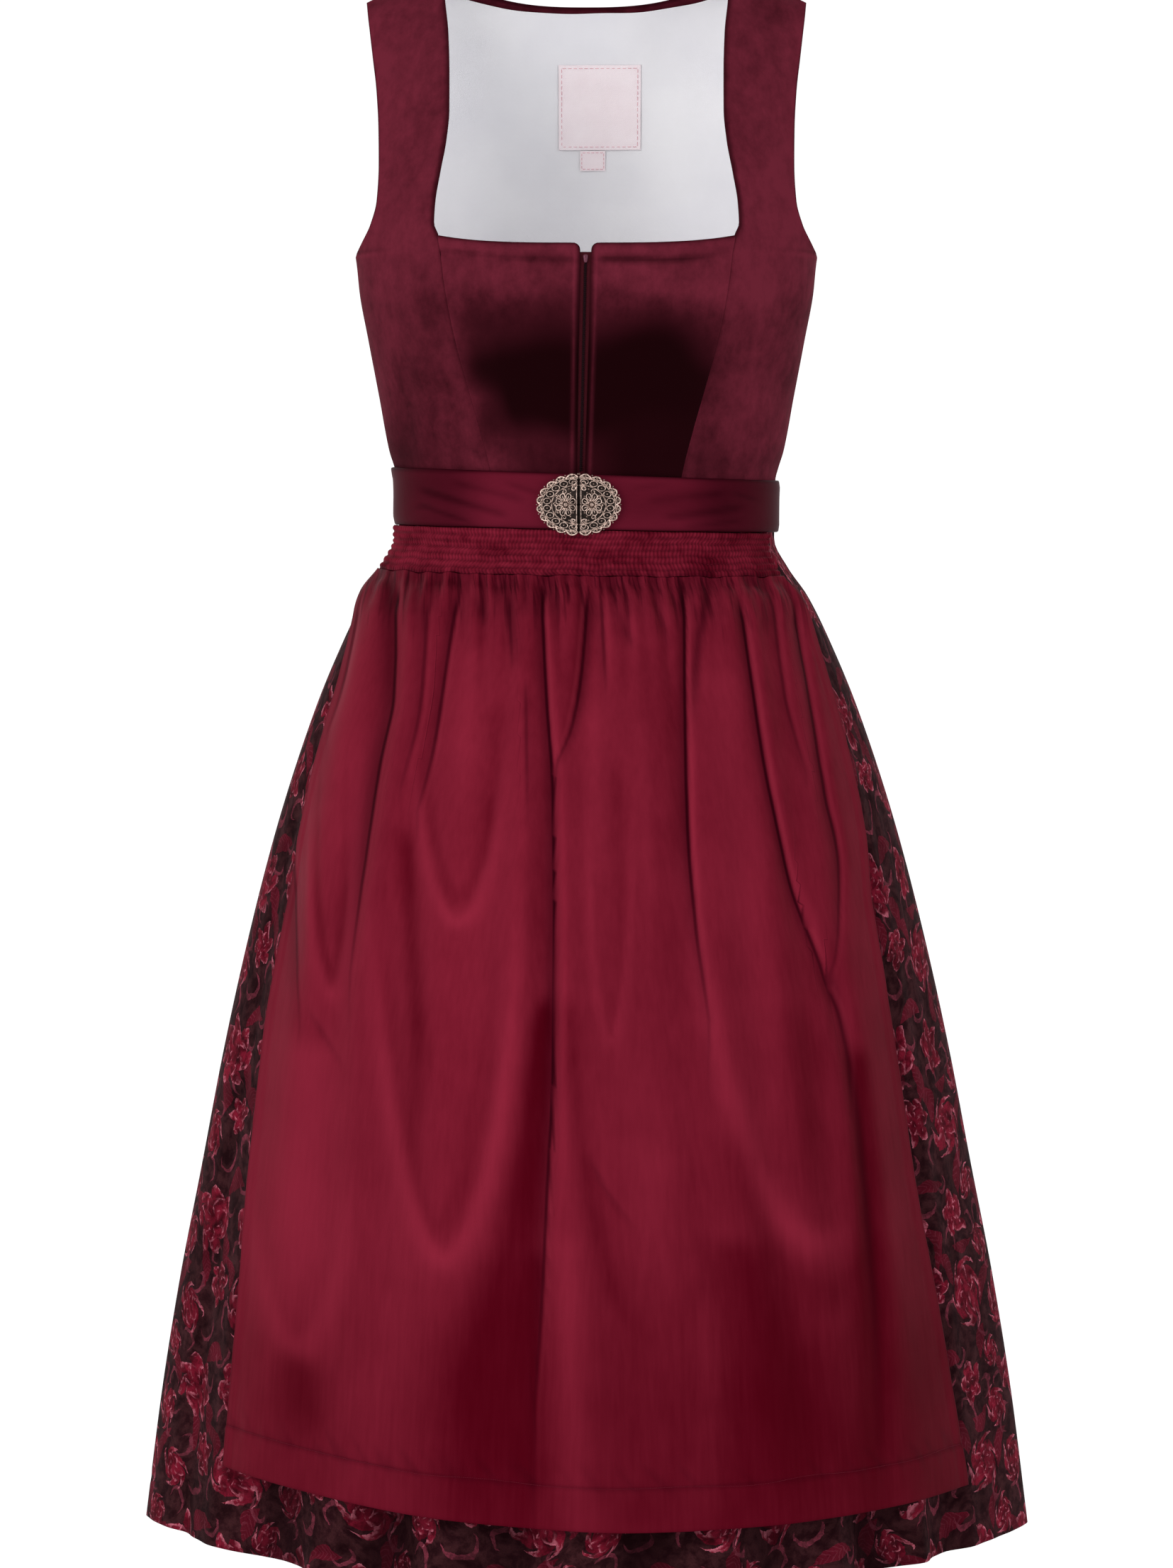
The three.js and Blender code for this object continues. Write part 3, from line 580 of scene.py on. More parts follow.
# A curl: part of a ring whose thickness tapers to both tips as a parabola of the turn.
def curlNodes(tree, u, v, x, y, size, thick, turn, part):
    r, angle = polar(tree, *nearest(tree, u, v, x, y))
    place = calc(tree, "FRACT", calc(tree, "MULTIPLY_ADD", angle, 1 / (2 * math.pi), turn / (2 * math.pi)))
    place = calc(tree, "MULTIPLY_ADD", place, 1 / part, -0.5 / part)
    taper = calc(tree, "MULTIPLY_ADD", calc(tree, "MULTIPLY", place, place), -thick, thick)
    ring = calc(tree, "MULTIPLY_ADD", place, -0.16 * size, size * 0.84)
    return calc(tree, "LESS_THAN", calc(tree, "ABSOLUTE", calc(tree, "SUBTRACT", r, ring)), taper)


# Jacquard: a patchy dark ground with leaves, curls and flowers over it, whose place is moved by two noises,
# then dimmed by the threads and darkened by the deep mark, painted shade inside the folds.
def jacquardMaterial():
    made, tree, place = newMaterial("jacquard")
    look = jacquardLook
    cloth = add(tree, "UVMap", out=0, uv_map="UVMap")
    rough = {"Vector": cloth, "Scale": 95.0, "Detail": 4.0, "Roughness": 0.6}
    wobble = add(tree, "TexNoise", rough, out="Color")
    sway = add(tree, "TexNoise", {"Vector": cloth, "Scale": 28.0, "Detail": 1.0}, out="Color")
    cloth = add(tree, "VectorMath", {0: wobble, 1: (0.0065,) * 3, 2: cloth}, operation="MULTIPLY_ADD")
    cloth = add(tree, "VectorMath", {0: sway, 1: (0.022,) * 3, 2: cloth}, operation="MULTIPLY_ADD")
    parts = tree.nodes.new("ShaderNodeSeparateXYZ")
    tree.links.new(cloth, parts.inputs[0])
    u, v = (calc(tree, "MULTIPLY", parts.outputs[k], 1000.0 / look["scale"]) for k in (0, 1))
    thread = noise(tree, stretched(tree, cloth, (900, 2600, 1)), 1.0, 2, 0.6)
    patchy = ramp(tree, noise(tree, cloth, 150, 3, 0.6), 0.35, 0.65)
    colour = blend(tree, patchy, look["ground"], look["shadow"])
    broken = ramp(tree, noise(tree, cloth, 300, 2, 0.6), 0.38, 0.6, 0.0, 1.0)
    curlShare = calc(tree, "MULTIPLY_ADD", broken, 0.6, 0.4)
    petalSoft = ramp(tree, noise(tree, cloth, 110, 3, 0.6), 0.3, 0.5, 0.35, 1.0)
    for leaf in look["leaves"]:
        inside, bars = leafNodes(tree, u, v, *leaf)
        colour = blend(tree, calc(tree, "MULTIPLY", inside, 0.8), colour, look["leaf"])
        colour = blend(tree, calc(tree, "MULTIPLY", bars, 0.5), colour, look["curl"])
    for curl in look["curls"]:
        shown = calc(tree, "MULTIPLY", curlNodes(tree, u, v, *curl), curlShare)
        colour = blend(tree, shown, colour, look["curl"])
    for flower in look["flowers"]:
        body, line = flowerNodes(tree, u, v, *flower)
        soft = calc(tree, "MULTIPLY", body, petalSoft)
        colour = blend(tree, soft, colour, blend(tree, patchy, look["petal"], look["heart"]))
        colour = blend(tree, calc(tree, "MULTIPLY", line, broken), colour, look["line"])
    dim = ramp(tree, thread, 0.25, 0.75, 0.66, 1.14)
    dim = calc(tree, "MULTIPLY", dim, ramp(tree, noise(tree, cloth, 55, 2, 0.5), 0.35, 0.65, 0.7, 1.18))
    colour = blend(tree, 1.0, colour, add(tree, "CombineColor", {0: dim, 1: dim, 2: dim}), "MULTIPLY")
    # painted shade inside the folds, by the deep mark
    deep = add(tree, "Attribute", out="Fac", attribute_name="deep")
    colour = blend(tree, deep, colour, rgb(20, 6, 9))
    shader = {"Roughness": 0.6, "Specular IOR Level": 0.01, "Specular Tint": rgb(200, 110, 130)}
    finishMaterial(tree, colour, shader, thread, 0.25, 0.0002)
    return made


# Antique silver: bright on what stands out and dark with old polish in the grain. The plate under the wires
# gets a dark copy, painted shade that stands in for the holes and hollows between them.
def silverMaterial(name, bright, dark, share):
    made, tree, place = newMaterial(name)
    grain = noise(tree, place, 700, 3, 0.6)
    colour = blend(tree, ramp(tree, grain, share, share + 0.3), dark, bright)
    shader = {"Metallic": 0.85, "Roughness": 0.38, "Specular IOR Level": 0.5}
    finishMaterial(tree, colour, shader, grain, 0.2, 0.0002)
    return made


# Dyed nylon and thread: one colour with a little grain.
def plainMaterial(name, colour, rough, metallic=0.0, scale=900.0):
    made, tree, place = newMaterial(name)
    grain = noise(tree, place, scale, 2)
    dim = ramp(tree, grain, 0.2, 0.8, 0.85, 1.1)
    shade = blend(tree, 1.0, colour, add(tree, "CombineColor", {0: dim, 1: dim, 2: dim}), "MULTIPLY")
    shader = {"Roughness": rough, "Metallic": metallic, "Specular IOR Level": 0.08}
    finishMaterial(tree, shade, shader, grain, 0.15, 0.0001)
    return made


velvet, lining, labelRibbon = velvetMaterial(), liningMaterial(), labelMaterial()
apronSatin = satinMaterial("apronSatin", satinLook, creased=True)
bandSatin = satinMaterial("bandSatin", satinLook)
beltSatin = satinMaterial("beltSatin", beltLook, (6, 260, 260), 0.45)
jacquard = jacquardMaterial()
silverBright = silverMaterial("silverRaised", rgb(222, 197, 184), rgb(124, 102, 94), 0.32)
# painted shade: the dark plate under the wires
silverHoleShade = silverMaterial("silverHollowShade", rgb(44, 34, 30), rgb(18, 12, 10), 0.35)
zipNylon = plainMaterial("zipNylon", rgb(24, 6, 11), 0.6)
zipLacquer = plainMaterial("zipLacquer", rgb(104, 60, 74), 0.35, 0.3)
satinThread = plainMaterial("satinThread", rgb(96, 16, 34), 0.6)
velvetThread = plainMaterial("velvetThread", rgb(62, 12, 22), 0.8)
pinkThread = plainMaterial("pinkThread", rgb(226, 168, 180), 0.6)
print("materials made")


# ---- bodice
bodice = dict(
    wall=2.0, rim=0.35, seamInset=-0.04, seamRoll=0.4, seamWidth=1.5, edgeRoll=1.1, edgeWidth=2.6,
    pitch=2.3, rowPitch=2.6, facing=12.5, facingDepth=0.8, topstitch=5.2, topstitchDepth=0.3,
    unevenness=0.45,
)
zipCut = dict(
    topLevel=-200, topCentre=-0.5, topHalf=3.7, bottomLevel=-346, bottomCentre=-3.8, bottomHalf=2.7, corner=5,
    tapeHalf=10, tapeWall=0.8, tapeLift=-2.4, tapeBottom=-360, coilHalf=0.85, coilPitch=1.3, coilWire=0.36,
    coilLift=-1.6, sliderTop=-202.6, sliderBottom=-208, sliderHalf=1.8,
)


def zipCentre(level):
    share = np.clip((level - zipCut["bottomLevel"]) / (zipCut["topLevel"] - zipCut["bottomLevel"]), 0, 1)
    return mix(zipCut["bottomCentre"], zipCut["topCentre"], share)


def zipHalf(level):
    share = np.clip((level - zipCut["bottomLevel"]) / (zipCut["topLevel"] - zipCut["bottomLevel"]), 0, 1)
    return mix(zipCut["bottomHalf"], zipCut["topHalf"], share)


# Front neckline: a cubic dip from the strap's corner to the centre, then a quarter circle down at the zip.
def frontNeckline(x):
    corner = cut["neckCorner"]
    dip = corner - cut["frontNeckDip"] * (1 - (np.abs(x) / frontSeam(corner)) ** 3)
    fromZip, r = np.abs(x) - zipCut["topHalf"], zipCut["corner"]
    return np.where(fromZip >= r, dip, dip - r + np.sqrt(np.maximum(0, r * r - (r - fromZip) ** 2)))


# Back neckline: a shallow scoop, the power 2.7 of the distance from the centre.
def backNeckline(x):
    return -cut["backNeckDrop"] * (1 - np.minimum(np.abs(x) / cut["neckHalf"], 1) ** 2.7)


def sideAngle(level):
    return np.where(level <= cut["underarm"], quarterTurn, angleOf(armhole(level), level))


# The grid of a bodice piece between two edge angles: rows of levels from the top line down, leaning to it
# with the square of the height. Gives angles, levels and the distances to the left, right and top edges.
def panelGrid(left, right, last, top, pitch, rowPitch):
    height = last - cut["waist"]
    t = edgeSteps(height, rowPitch)[::-1][:, None]
    topWidth = np.linalg.norm(formPoint(left(last), last) - formPoint(right(last), last))
    share = edgeSteps(topWidth + 20, pitch)[None, :]
    topLine = top(share) if top else np.full(share.shape, float(last))
    level = cut["waist"] + height * t + (topLine - last) * t**2
    start, end = left(level), right(level)
    width = np.linalg.norm(formPoint(start, level) - formPoint(end, level), axis=-1)
    inset = bodice["seamInset"] / np.maximum(width, 1) * (end - start)
    angle = mix(start + inset, end - inset, share)
    return angle, level, share * width, (1 - share) * width, topLine - level


# How far cloth turns in near an edge: a quarter circle of the given width and depth.
def rollIn(distance, width, depth):
    return -depth * (1 - np.sqrt(1 - np.clip(1 - distance / width, 0, 1) ** 2))


# Painted light and shade patches on the front, as if brushed another way: x, z, width, height, lean, change.
paintedLightPatches = [
    (-96, -262, 13, 60, -0.15, 0.2), (-62, -226, 26, 14, 0.6, 0.14), (-30, -214, 18, 9, 0.9, -0.12),
    (26, -212, 22, 10, -0.7, 0.1), (66, -228, 24, 12, -0.4, 0.14), (-70, -344, 26, 14, 0, 0.2),
    (-116, -300, 20, 50, 0.1, -0.14), (118, -290, 22, 50, -0.1, 0.22), (-106, -228, 12, 30, -0.3, -0.3),
    (-132, -262, 12, 40, 0.2, 0.16), (-124, -330, 16, 24, 0, -0.26), (112, -236, 14, 26, 0.3, 0.16),
    (126, -300, 14, 40, 0.2, -0.14), (92, -226, 9, 18, 0, 0.2), (-128, -60, 12, 40, 0.1, 0.1),
    (-130, -150, 12, 26, 0, -0.14), (128, -40, 14, 30, 0, -0.1), (132, -150, 14, 30, 0, 0.1),
]


# Painted shade under the bust, where the pile turns away from the light: levels from light to dark and back
# to half dark, and the places on the left between which it starts.
bustShade = dict(top=-206, full=-272, low=-302, end=-338, lowShare=0.55, left=-104, leftFull=-66, lean=0.3)


# A velvet piece: the form, moved by its own relief and rolled in at its edges. An edge is open above its
# level in the openAbove table and a seam below it. The painted light mark is lighter where the cloth looks
# up or to the side, painted dark in the shade under the bust, and painted darker on seams and rolled edges.
def velvetPiece(
    name, node, left, right, last, top=None, relief=None, openAbove={}, tone=0.3, facings=(0.5, 0.4),
    fine=1.0, flat=None, area=None,
):
    grid = panelGrid(left, right, last, top, bodice["pitch"] * fine, bodice["rowPitch"] * fine)
    angle, level, toLeft, toRight, toTop = grid
    place = formPoint(angle, level)
    x, z = place[..., 0], place[..., 2]
    lift = bodice["unevenness"] * ripples(x, z * 0.6, 42, len(name)) - bodice["unevenness"]
    lift = lift * ease(0, 12, toLeft) * ease(0, 12, toRight) * ease(0, 12, toTop)
    if relief:
        lift = lift + relief(place, toLeft, toRight, toTop)
    # shade: painted shade, a little darker along the seams and much darker on the rolled open edges
    roll, shade = 0, 1
    for edge, distance in (("left", toLeft), ("right", toRight), ("top", toTop)):
        start = openAbove.get(edge, 99)
        free = ease(start - 5, start + 1, level)
        seam = rollIn(distance, bodice["seamWidth"], bodice["seamRoll"])
        roll = np.minimum(roll, mix(seam, rollIn(distance, bodice["edgeWidth"], bodice["edgeRoll"]), free))
        shade = shade * mix(mix(0.84, 1, ease(0, 1.2, distance)), mix(0.3, 1, ease(0, 3.4, distance)), free)
    outer = lifted(angle, level, lift + roll)
    inner = lifted(angle, level, lift - bodice["wall"])
    normal = gridNormal(outer)
    # painted light: lighter where the normal looks up and where it looks to the side
    paintedLight = tone + facings[0] * ease(-0.3, 0.1, normal[..., 2])
    paintedLight = paintedLight + facings[1] * ease(0.36, 0.68, np.abs(normal[..., 0]))
    onFront = normal[..., 1].mean() < 0
    # painted shade under the bust
    if fine < 1:
        field, level = bustShade, z + 13 * ripples(x, z, 64, 91) + 0.004 * (np.abs(x) - 40) ** 2
        lowShare = mix(field["lowShare"], 0.94, ease(-15, 30, x))
        away = ease(field["top"], field["full"], level)
        away = away * mix(1, lowShare, ease(field["low"], field["end"], level))
        across = x + field["lean"] * (z + 252) + 6 * ripples(x, z, 50, 92)
        paintedLight = mix(paintedLight, 0.0, 0.97 * away * ease(field["left"], field["leftFull"], across))
    # painted light and shade patches on the front
    for patchX, patchZ, width, height, lean, change in paintedLightPatches if onFront else ():
        aside = (x - patchX) - lean * (z - patchZ)
        paintedLight = paintedLight + change * bell(aside, width) * bell(z - patchZ, height)
    # painted shade along the facing's crease, painted light on the padded neckline and a painted highlight
    # along the fold by the zip
    if fine < 1:
        crease = bodice["facing"] + 1.2 * ripples(x, z, 60, 6)
        strength = mix(0.28, 0.5, ease(-20, 20, x)) * ease(0, 10, np.minimum(toLeft, toRight))
        strength = strength * ease(84, 50, np.abs(x - 12))
        paintedLight = paintedLight - strength * bell(toTop - crease, 2.2) + 0.1 * bell(toTop - 5, 4)
        paintedLight = paintedLight + 0.3 * bell((toLeft if "left" in openAbove else toRight) - 3.2, 1.2)
    inside = velvet if name == "velvetBackCentre" else lining
    marks = dict(paintedLight=np.clip(paintedLight, 0, 1) * shade)
    piece = clothShell(name, outer, inner, [velvet, inside], marks=marks, bulge=bodice["rim"])
    dress(piece, "velvet", node)
    return piece


# Relief of a front centre piece: the facing's crease under the neckline and the stitching beside the zip.
def centreRelief(side):
    def relief(place, toLeft, toRight, toTop):
        toZip = toLeft if side > 0 else toRight
        wobble = 1.2 * ripples(place[..., 0], place[..., 2], 60, 5 + side)
        strength = mix(0.35, 1, ease(55, 18, toZip) if side > 0 else ease(20, 60, toZip)) * ease(2, 10, toZip)
        crease = -bodice["facingDepth"] * bell(toTop - bodice["facing"] - wobble, 2.2) * strength
        padded = 0.5 * bell(toTop - 5.5, 4.5)
        stitch = -bodice["topstitchDepth"] * bell(toZip - bodice["topstitch"], 0.6)
        welt = 0.5 * bell(toZip - 2.3, 2.2)
        return crease + padded + stitch + welt

    return relief


# Relief of a side piece: soft upright ripples towards the waist and round the strap.
def sideRelief(place, toLeft, toRight, toTop):
    low = ease(-230, -350, place[..., 2])
    waves = ripples(place[..., 0], place[..., 2] * 0.25, 26, 12, (-0.5, 0.5)) - 0.9
    return 0.55 * low * waves * ease(0, 10, toLeft) * ease(0, 10, toRight)


def mirrorAngles(side, inner, outer):
    return (inner, outer) if side > 0 else (outer, inner)


# level of the shoulder seams, just under the top of the form
shoulder = -0.12
corner = cut["neckCorner"]
reach = frontSeam(corner) - zipCut["topHalf"]
for side, word in ((-1, "left"), (1, "right")):
    title = word.capitalize()
    seamEdge = lambda level: angleOf(side * frontSeam(np.minimum(level, corner)), level)
    zipEdge = lambda level: angleOf(zipCentre(level) + side * zipHalf(level), level)
    fromZip = lambda share: share if side > 0 else 1 - share
    velvetPiece(
        "velvetFrontCentre" + title, "bodice_front_centre_" + word,
        *mirrorAngles(side, zipEdge, seamEdge), corner,
        top=lambda share: frontNeckline(zipCut["topHalf"] + fromZip(share) * reach),
        relief=centreRelief(side), openAbove={"top": -999, "left" if side > 0 else "right": -999},
        tone=0.45, facings=(0.32, 0.2), fine=0.8, flat=(0.1, 0.185), area=0.0146,
    )
    strapEdge = lambda level: side * angleOf(frontSeam(level), level)
    sideEdge = lambda level: side * sideAngle(level)
    velvetPiece(
        "velvetFrontSide" + title, "bodice_front_side_" + word,
        *mirrorAngles(side, strapEdge, sideEdge), shoulder, relief=sideRelief,
        openAbove=dict(zip(("left", "right")[::side], (corner, cut["underarm"]))),
        tone=0.3, facings=(0.4, 0.25), flat=(0.13, 0.4), area=0.032,
    )
    backEdge = lambda level: math.pi - side * angleOf(backSeam(level), level)
    backSideEdge = lambda level: math.pi - side * sideAngle(level)
    velvetPiece(
        "velvetBackSide" + title, "bodice_back_side_" + word,
        *mirrorAngles(-side, backEdge, backSideEdge), shoulder, relief=sideRelief,
        openAbove={"left" if side > 0 else "right": cut["underarm"]},
        tone=0.3, facings=(0.4, 0.25), fine=1.2, flat=(0.14, 0.39), area=0.0325,
    )
velvetPiece(
    "velvetBackCentre", "bodice_back_centre", lambda level: math.pi - angleOf(backSeam(level), level),
    lambda level: math.pi + angleOf(backSeam(level), level), shoulder,
    top=lambda share: backNeckline(backSeam(0.0) * (1 - 2 * share)) + shoulder,
    openAbove={"top": -999}, tone=0.2, facings=(0.5, 0.3), fine=1.35, flat=(0.24, 0.37), area=0.061,
)
print("velvet pieces made")


# ---- lining of the back, with the bare label and size tab on it
liningCut = dict(
    wall=1.0, lift=-5.2, inset=0.03, top=-1.2, wave=1.3, labelGap=0.7, labelWall=0.5,
    label=dict(centre=9.5, level=-90, width=59, height=58.8, inset=2.2, stitch=2.6, gap=1.2),
    tab=dict(centre=4.5, level=-127, width=18.4, height=14, inset=1.3, stitch=1.8, gap=1.0),
)


# Soft wrinkles of the lining: long uneven waves that die out at the label and deepen towards the waist.
def liningWave(place):
    x, z = place[..., 0], place[..., 2]
    calm = 1 - 0.8 * bell(np.hypot(x - 9.5, z + 95), 45)
    waves = ripples(x, z * 0.5, 60, 31) + 0.5 * ripples(x, z * 0.2, 24, 32, (-0.6, 0.6)) * ease(-120, -220, z)
    return liningCut["wave"] * calm * (waves * 0.6 - 0.8)


# The lining: the form, moved in by its lift and its wave, which is calmed at the side seams.
def makeLining():
    edge = lambda level: sideAngle(level) - liningCut["inset"]
    top = lambda share: np.minimum(backNeckline(armhole(0.0) * (1 - 2 * share)) - 1.6, liningCut["top"])
    angle, level, toLeft, toRight, _ = panelGrid(
        lambda v: math.pi - edge(v), lambda v: math.pi + edge(v), liningCut["top"], top, 3.6, 4.2
    )
    wave = liningWave(formPoint(angle, level)) * ease(0, 15, toLeft) * ease(0, 15, toRight)
    lift = liningCut["lift"] + wave
    outer, inner = lifted(angle, level, lift), lifted(angle, level, lift - liningCut["wall"])
    piece = clothShell("liningBack", outer, inner, [lining])
    dress(piece, "lining", "lining_back")


# A small flat piece on the lining, with a run of stitches round it, set in from its edge.
def makeLabel(name, node, spec):
    surface = lambda x, level, extra: lifted(
        np.pi - angleOf(x, level), level,
        liningCut["lift"] - liningCut["wall"] - liningCut["labelGap"] - extra
        + liningWave(formPoint(np.pi - angleOf(x, level), level)),
    )
    x = spec["centre"] + spec["width"] * (0.5 - edgeSteps(spec["width"], 2.4, 1.0))[None, :]
    level = spec["level"] + spec["height"] * (0.5 - edgeSteps(spec["height"], 2.4, 1.0))[:, None]
    soft = 0.25 * ripples(x, level, 30, 44)
    wall = liningCut["labelWall"]
    outer, inner = surface(x, level, soft), surface(x, level, soft + wall)
    piece = clothShell(name, outer, inner, [labelRibbon], bulge=0.2)
    dress(piece, "label", node)
    halfWidth, halfHeight = spec["width"] / 2 - spec["inset"], spec["height"] / 2 - spec["inset"]
    corners = np.array([(-1, -1), (1, -1), (1, 1), (-1, 1), (-1, -1)]) * (halfWidth, halfHeight)
    runs = []
    for a, b in zip(corners[:-1], corners[1:]):
        count = max(2, int(np.linalg.norm(b - a) / (spec["stitch"] + spec["gap"])))
        for k in range(count):
            ends = [mix(a, b, (k + 0.18) / count), mix(a, b, (k + 0.82) / count)]
            line = np.array([mix(ends[0], ends[1], t) for t in (0, 0.35, 0.65, 1)])
            height = wall + 0.25 + np.array([-0.3, 0.05, 0.05, -0.3])
            path = surface(spec["centre"] + line[:, 0], spec["level"] + line[:, 1], height)
            runs.append(tube(path, 0.2, 5))
    thread = dress(plainObject(name + "Stitches", runs, pinkThread), "label")


makeLining()
makeLabel("labelCloth", "label", liningCut["label"])
makeLabel("sizeTab", "size_tab", liningCut["tab"])
print("lining and labels made")


# ---- zip
# The zip. Its tape is the form between two places beside the zip's middle line, at one lift.
def makeZip():
    look = zipCut
    level = np.linspace(look["topLevel"] - 0.5, look["tapeBottom"], 60)[:, None]
    x = zipCentre(level) + look["tapeHalf"] * np.linspace(-1, 1, 9)[None, :]
    angle, level = np.broadcast_arrays(angleOf(x, level), level)
    outer = lifted(angle, level, look["tapeLift"])
    inner = lifted(angle, level, look["tapeLift"] - look["tapeWall"])
    tape = clothShell("zipTape", outer, inner, [velvetThread])
    dress(tape, "velvet", "zip_tape")
    # the coil: a flattened helix, x = half * sin(turn) and lift = height * cos(turn), one turn a pitch
    top, bottom = look["sliderBottom"] - 0.3, look["bottomLevel"]
    turns = (top - bottom) / look["coilPitch"]
    turn = np.linspace(0, 2 * math.pi * turns, int(turns * 10))
    level = mix(top, bottom, turn / turn[-1])
    x = zipCentre(level) + look["coilHalf"] * np.sin(turn)
    path = lifted(angleOf(x, level), level, look["coilLift"] + 0.3 * np.cos(turn))
    dress(plainObject("zipCoil", [tube(path, look["coilWire"], 6)], zipNylon), "zip", "zip_coil")
    # the slider: a rounded plate that is wider at its top, with a low bridge over it
    u, v = np.linspace(-1, 1, 15)[None, :], np.linspace(1, -1, 19)[:, None]
    half = look["sliderHalf"] * (0.82 + 0.18 * v) * (1 - 0.25 * np.abs(v) ** 6)
    middle = (look["sliderTop"] + look["sliderBottom"]) / 2
    length = (look["sliderTop"] - look["sliderBottom"]) / 2
    level, x = np.broadcast_arrays(middle + length * v * (1 - 0.12 * u**4), zipCentre(middle) + half * u)
    dome = 0.7 * (1 - u**4) * (1 - v**6)
    angle = angleOf(x, level)
    outer, inner = lifted(angle, level, -0.9 + dome), lifted(angle, level, np.full(x.shape, -2.0))
    plate = clothShell("zipSlider", outer, inner, [zipLacquer])
    dress(plate, "zip", "zip_slider")
    t = np.linspace(-1, 1, 13)
    bridgeLevel = middle + 0.1 + 1.5 * t
    arch = -0.4 + 0.75 * np.sqrt(1 - 0.98 * t**2)
    bridge = lifted(angleOf(zipCentre(middle), bridgeLevel), bridgeLevel, arch)
    dress(plainObject("zipSliderBridge", [tube(bridge, 0.42, 8, up=(1, 0, 0))], zipLacquer), "zip")


makeZip()
print("zip made")


# ---- skirt
skirtCut = dict(
    foldStart=-372, growth=0.8, wall=1.4, seamInset=0.1, columns=228, rows=128, gatherPitch=9.5,
    gatherDepth=1.5, gatherFade=95, swell=2.6, under=1.6, hemDepth=30, share=0.6,
    # place as a share of the half's width, width and depth
    frontFolds=[
        (-0.84, 26, 6), (-0.6, 34, 19), (-0.36, 30, 22), (-0.14, 32, 18), (0.1, 28, 22), (0.33, 34, 17),
        (0.55, 30, 20), (0.74, 28, 12), (0.89, 22, 3),
    ],
    backFolds=[
        (-0.88, 26, 9), (-0.68, 30, 20), (-0.47, 34, 24), (-0.25, 28, 19), (-0.06, 32, 25), (0.16, 30, 20),
        (0.37, 34, 23), (0.58, 28, 18), (0.76, 30, 20), (0.91, 22, 8),
    ],
)


# Share of the way from where the folds start (0) down to the hem (1).
def fallen(level):
    return np.clip((skirtCut["foldStart"] - level) / (skirtCut["foldStart"] - cut["hem"]), 0, 1)


# Close gathers under a seam: upright troughs of uneven place, width, depth, length and slant. Each is a bell
# across and a falling bell down.
def gathers(across, below, length, pitch, depth, fade, seed):
    rng = np.random.default_rng(seed)
    total = np.zeros(np.broadcast(across, below).shape)
    for k in range(int(length / pitch)):
        place = (k + rng.uniform(0.15, 0.85)) * pitch
        width = pitch * rng.uniform(0.2, 0.38)
        reach = fade * rng.uniform(0.35, 1.25)
        lean = rng.uniform(-0.07, 0.07)
        deep = depth * rng.uniform(0.45, 1.2)
        total += deep * bell(across - place - lean * below, width * (1 + below / 90)) * bell(below, reach)
    return total


# Half of the skirt: the form, less folds that are bells across and grow with a power of the fall, less a
# swell with soft ripples, less the gathers under the belt and the dip of the hem's stitching.
def skirtHalf(name, node, folds, facing, seed):
    look = skirtCut
    top = cut["waist"] - cut["seamGap"]
    down = edgeSteps(top - cut["hem"], (top - cut["hem"]) / look["rows"], 3.0)[:, None]
    down = down**1.12
    rough = mix(top, cut["hem"], down)
    share = np.linspace(-1, 1, look["columns"])[None, :]
    share = share * (1 - look["seamInset"] / quarterLength(rough))
    turn = angleAtShare(share, rough)
    angle = turn if facing > 0 else np.pi + turn
    x = halfAt(rough) * np.sin(angle)
    level = rough + cut["hemTilt"] * x * fallen(rough) ** 2
    length = quarterLength(level)
    grow = fallen(level)
    scale = length / quarterLength(cut["hem"])
    troughs = np.zeros(level.shape)
    for at, width, depth in folds:
        troughs += depth * grow ** look["growth"] * bell((share - at) * length, width * scale)
    calm = ease(1.0, 0.86, np.abs(share))
    waves = calm * ripples(share * 430, level * 0.05, 46, seed, (-0.12, 0.12))
    soft = look["swell"] * grow**0.6 * (0.75 + 0.75 * waves)
    spacing = look["gatherPitch"], look["gatherDepth"], look["gatherFade"]
    close = gathers((share + 1) * 200, top - level, 400, *spacing, seed)
    hem = 0.35 * bell(level - cut["hem"] - look["hemDepth"] - 1.5 * ripples(share * 300, 0, 80, seed), 1.6)
    nearTop = ease(0, 5, top - level)
    lift = -troughs - soft - close * nearTop - hem
    if facing > 0:
        lift = lift - look["under"] * ease(1.0, 0.85, np.abs(share) / 0.8) * ease(-400, -430, level)
    outer = lifted(angle, level, lift)
    u = share * (look["share"] * quarterLength(cut["hem"]) + (1 - look["share"]) * length)
    uv = np.stack(np.broadcast_arrays(u * mm + facing * 0.7, level * mm), axis=-1)
    # deep mark, painted shade: in the fold troughs and between the gathers under the belt
    dark = np.clip(0.72 * ease(2, 24, troughs) + 0.5 * ease(0.4, 2.4, close) * nearTop, 0, 0.8)
    inner = lifted(angle, level, lift - look["wall"])
    piece = clothShell(name, outer, inner, [jacquard], uv=uv, marks=dict(deep=dark), bulge=0.3)
    dress(piece, "jacquard", node)


skirtHalf("skirtFront", "skirt_front", skirtCut["frontFolds"], 1, 61)
skirtHalf("skirtBack", "skirt_back", skirtCut["backFolds"], -1, 77)
print("skirt made")


